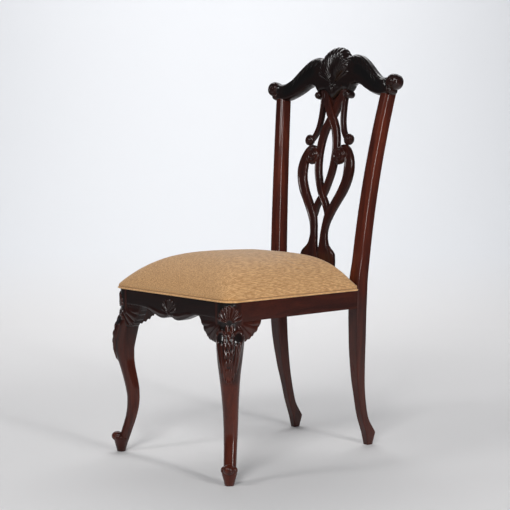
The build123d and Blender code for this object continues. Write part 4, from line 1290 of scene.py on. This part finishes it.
class CHAIR_OT_stage(bpy.types.Operator):
    """Set the studio: floor, backdrop, lights and camera"""
    bl_idname = "chair.stage"
    bl_label = "Studio"

    def execute(self, context):
        look = context.scene.chair_stage
        self.sweep(look)
        self.lights(look)
        scene = context.scene
        scene.view_settings.view_transform = "Standard"
        lens = bpy.data.cameras.new("camera")
        lens.lens = look.lens
        lens.sensor_width = SENSOR_WIDTH
        camera = bpy.data.objects.new("camera", lens)
        camera.location = look.eye
        camera.rotation_euler = (radians(90) - look.pitch, 0.0, look.heading)
        scene.collection.objects.link(camera)
        scene.camera = camera
        return {"FINISHED"}

    def sweep(self, look):
        """A floor that curves up into a backdrop behind the chair, as seen from the camera."""
        away = Vector((-sin(look.heading), cos(look.heading), 0.0))
        aside = Vector((away.y, -away.x, 0.0))
        line = [(SWEEP_FRONT, 0.0), (0.0, 0.0), (SWEEP_BEND, 0.0)]
        line += [(SWEEP_BEND + SWEEP_RADIUS * sin(turn), SWEEP_RADIUS - SWEEP_RADIUS * cos(turn))
                 for turn in np.linspace(0.06, pi / 2, 24)]
        line += [(SWEEP_BEND + SWEEP_RADIUS, SWEEP_TOP)]
        points = [tuple(away * run + aside * side + Vector((0, 0, rise)))
                  for run, rise in line for side in (-SWEEP_HALF, SWEEP_HALF)]
        faces = [(2 * i, 2 * i + 1, 2 * i + 3, 2 * i + 2) for i in range(len(line) - 1)]
        mesh = bpy.data.meshes.new("studio_sweep")
        mesh.from_pydata(points, [], faces)
        mesh.polygons.foreach_set("use_smooth", np.ones(len(mesh.polygons), bool))
        material, tree, shader = new_material("studio paper")
        place = node(tree, "ShaderNodeTexCoord").outputs["Object"]
        height = node(tree, "ShaderNodeSeparateXYZ", {"Vector": place}).outputs["Z"]
        colour = mix_colour(tree, map_range(tree, height, (0.0, WALL_START)), rgba(look.floor_colour),
                            rgba(look.wall_colour))
        feed(tree, shader, {"Base Color": colour, "Roughness": 0.8, "Specular IOR Level": 0.1})
        mesh.materials.append(material)
        sweep = bpy.data.objects.new("studio_sweep", mesh)
        bpy.context.scene.collection.objects.link(sweep)

    def lights(self, look):
        """A tall key from the right, one overhead, a softer fill, a backdrop light and a pale room."""
        for name, place, aim, size, power in (
                ("key_light", (3.1, -0.1, 1.15), (0.0, 0.0, 0.6), (0.32, 1.9), look.key_power),
                ("top_light", (1.9, -2.7, 2.9), (0.0, 0.0, 0.3), (1.15, 1.15), look.top_power),
                ("fill_light", (-0.6, -3.4, 2.4), (0.0, 0.0, 0.3), (0.75, 0.75), look.fill_power),
                ("backdrop_light", (-1.75, 1.2, 2.9), (-2.45, 1.7, 0.0), (3.2, 1.6), look.backdrop_power)):
            data = bpy.data.lights.new(name, "AREA")
            data.shape = "RECTANGLE"
            data.size, data.size_y = size
            data.energy = power
            lamp = bpy.data.objects.new(name, data)
            lamp.location = place
            lamp.rotation_euler = (Vector(aim) - Vector(place)).to_track_quat("-Z", "Y").to_euler()
            bpy.context.scene.collection.objects.link(lamp)
        world = bpy.data.worlds.new("studio")
        world.use_nodes = True
        feed(world.node_tree, world.node_tree.nodes["Background"],
             {"Color": ROOM_COLOUR, "Strength": ROOM_STRENGTH})
        bpy.context.scene.world = world


OPERATORS = (CHAIR_OT_back_posts, CHAIR_OT_crest_rail, CHAIR_OT_splat, CHAIR_OT_front_legs,
             CHAIR_OT_knee_blocks, CHAIR_OT_front_rail, CHAIR_OT_frame_finish, CHAIR_OT_seat,
             CHAIR_OT_stage)


class CHAIR_PT_panel(bpy.types.Panel):
    """Lists the chair's pieces"""
    bl_label = "Carved Side Chair"
    bl_idname = "CHAIR_PT_panel"
    bl_space_type = "VIEW_3D"
    bl_region_type = "UI"
    bl_category = "Chair"

    def draw(self, context):
        for operator in OPERATORS:
            self.layout.operator(operator.bl_idname)


SETTINGS = (("chair_wood", ChairWoodSettings), ("chair_carving", ChairCarvingSettings),
            ("chair_seat", ChairSeatSettings), ("chair_stage", ChairStageSettings))


def register():
    for name, group in SETTINGS:
        bpy.utils.register_class(group)
        setattr(bpy.types.Scene, name, bpy.props.PointerProperty(type=group))
    for operator in OPERATORS:
        bpy.utils.register_class(operator)
    bpy.utils.register_class(CHAIR_PT_panel)


def unregister():
    bpy.utils.unregister_class(CHAIR_PT_panel)
    for operator in reversed(OPERATORS):
        bpy.utils.unregister_class(operator)
    for name, group in reversed(SETTINGS):
        delattr(bpy.types.Scene, name)
        bpy.utils.unregister_class(group)


def main():
    register()
    bpy.ops.chair.back_posts()
    bpy.ops.chair.crest_rail()
    bpy.ops.chair.splat()
    bpy.ops.chair.front_legs()
    bpy.ops.chair.knee_blocks()
    bpy.ops.chair.front_rail()
    bpy.ops.chair.frame_finish()
    bpy.ops.chair.seat()
    bpy.ops.chair.stage()


if __name__ == "__main__":
    main()
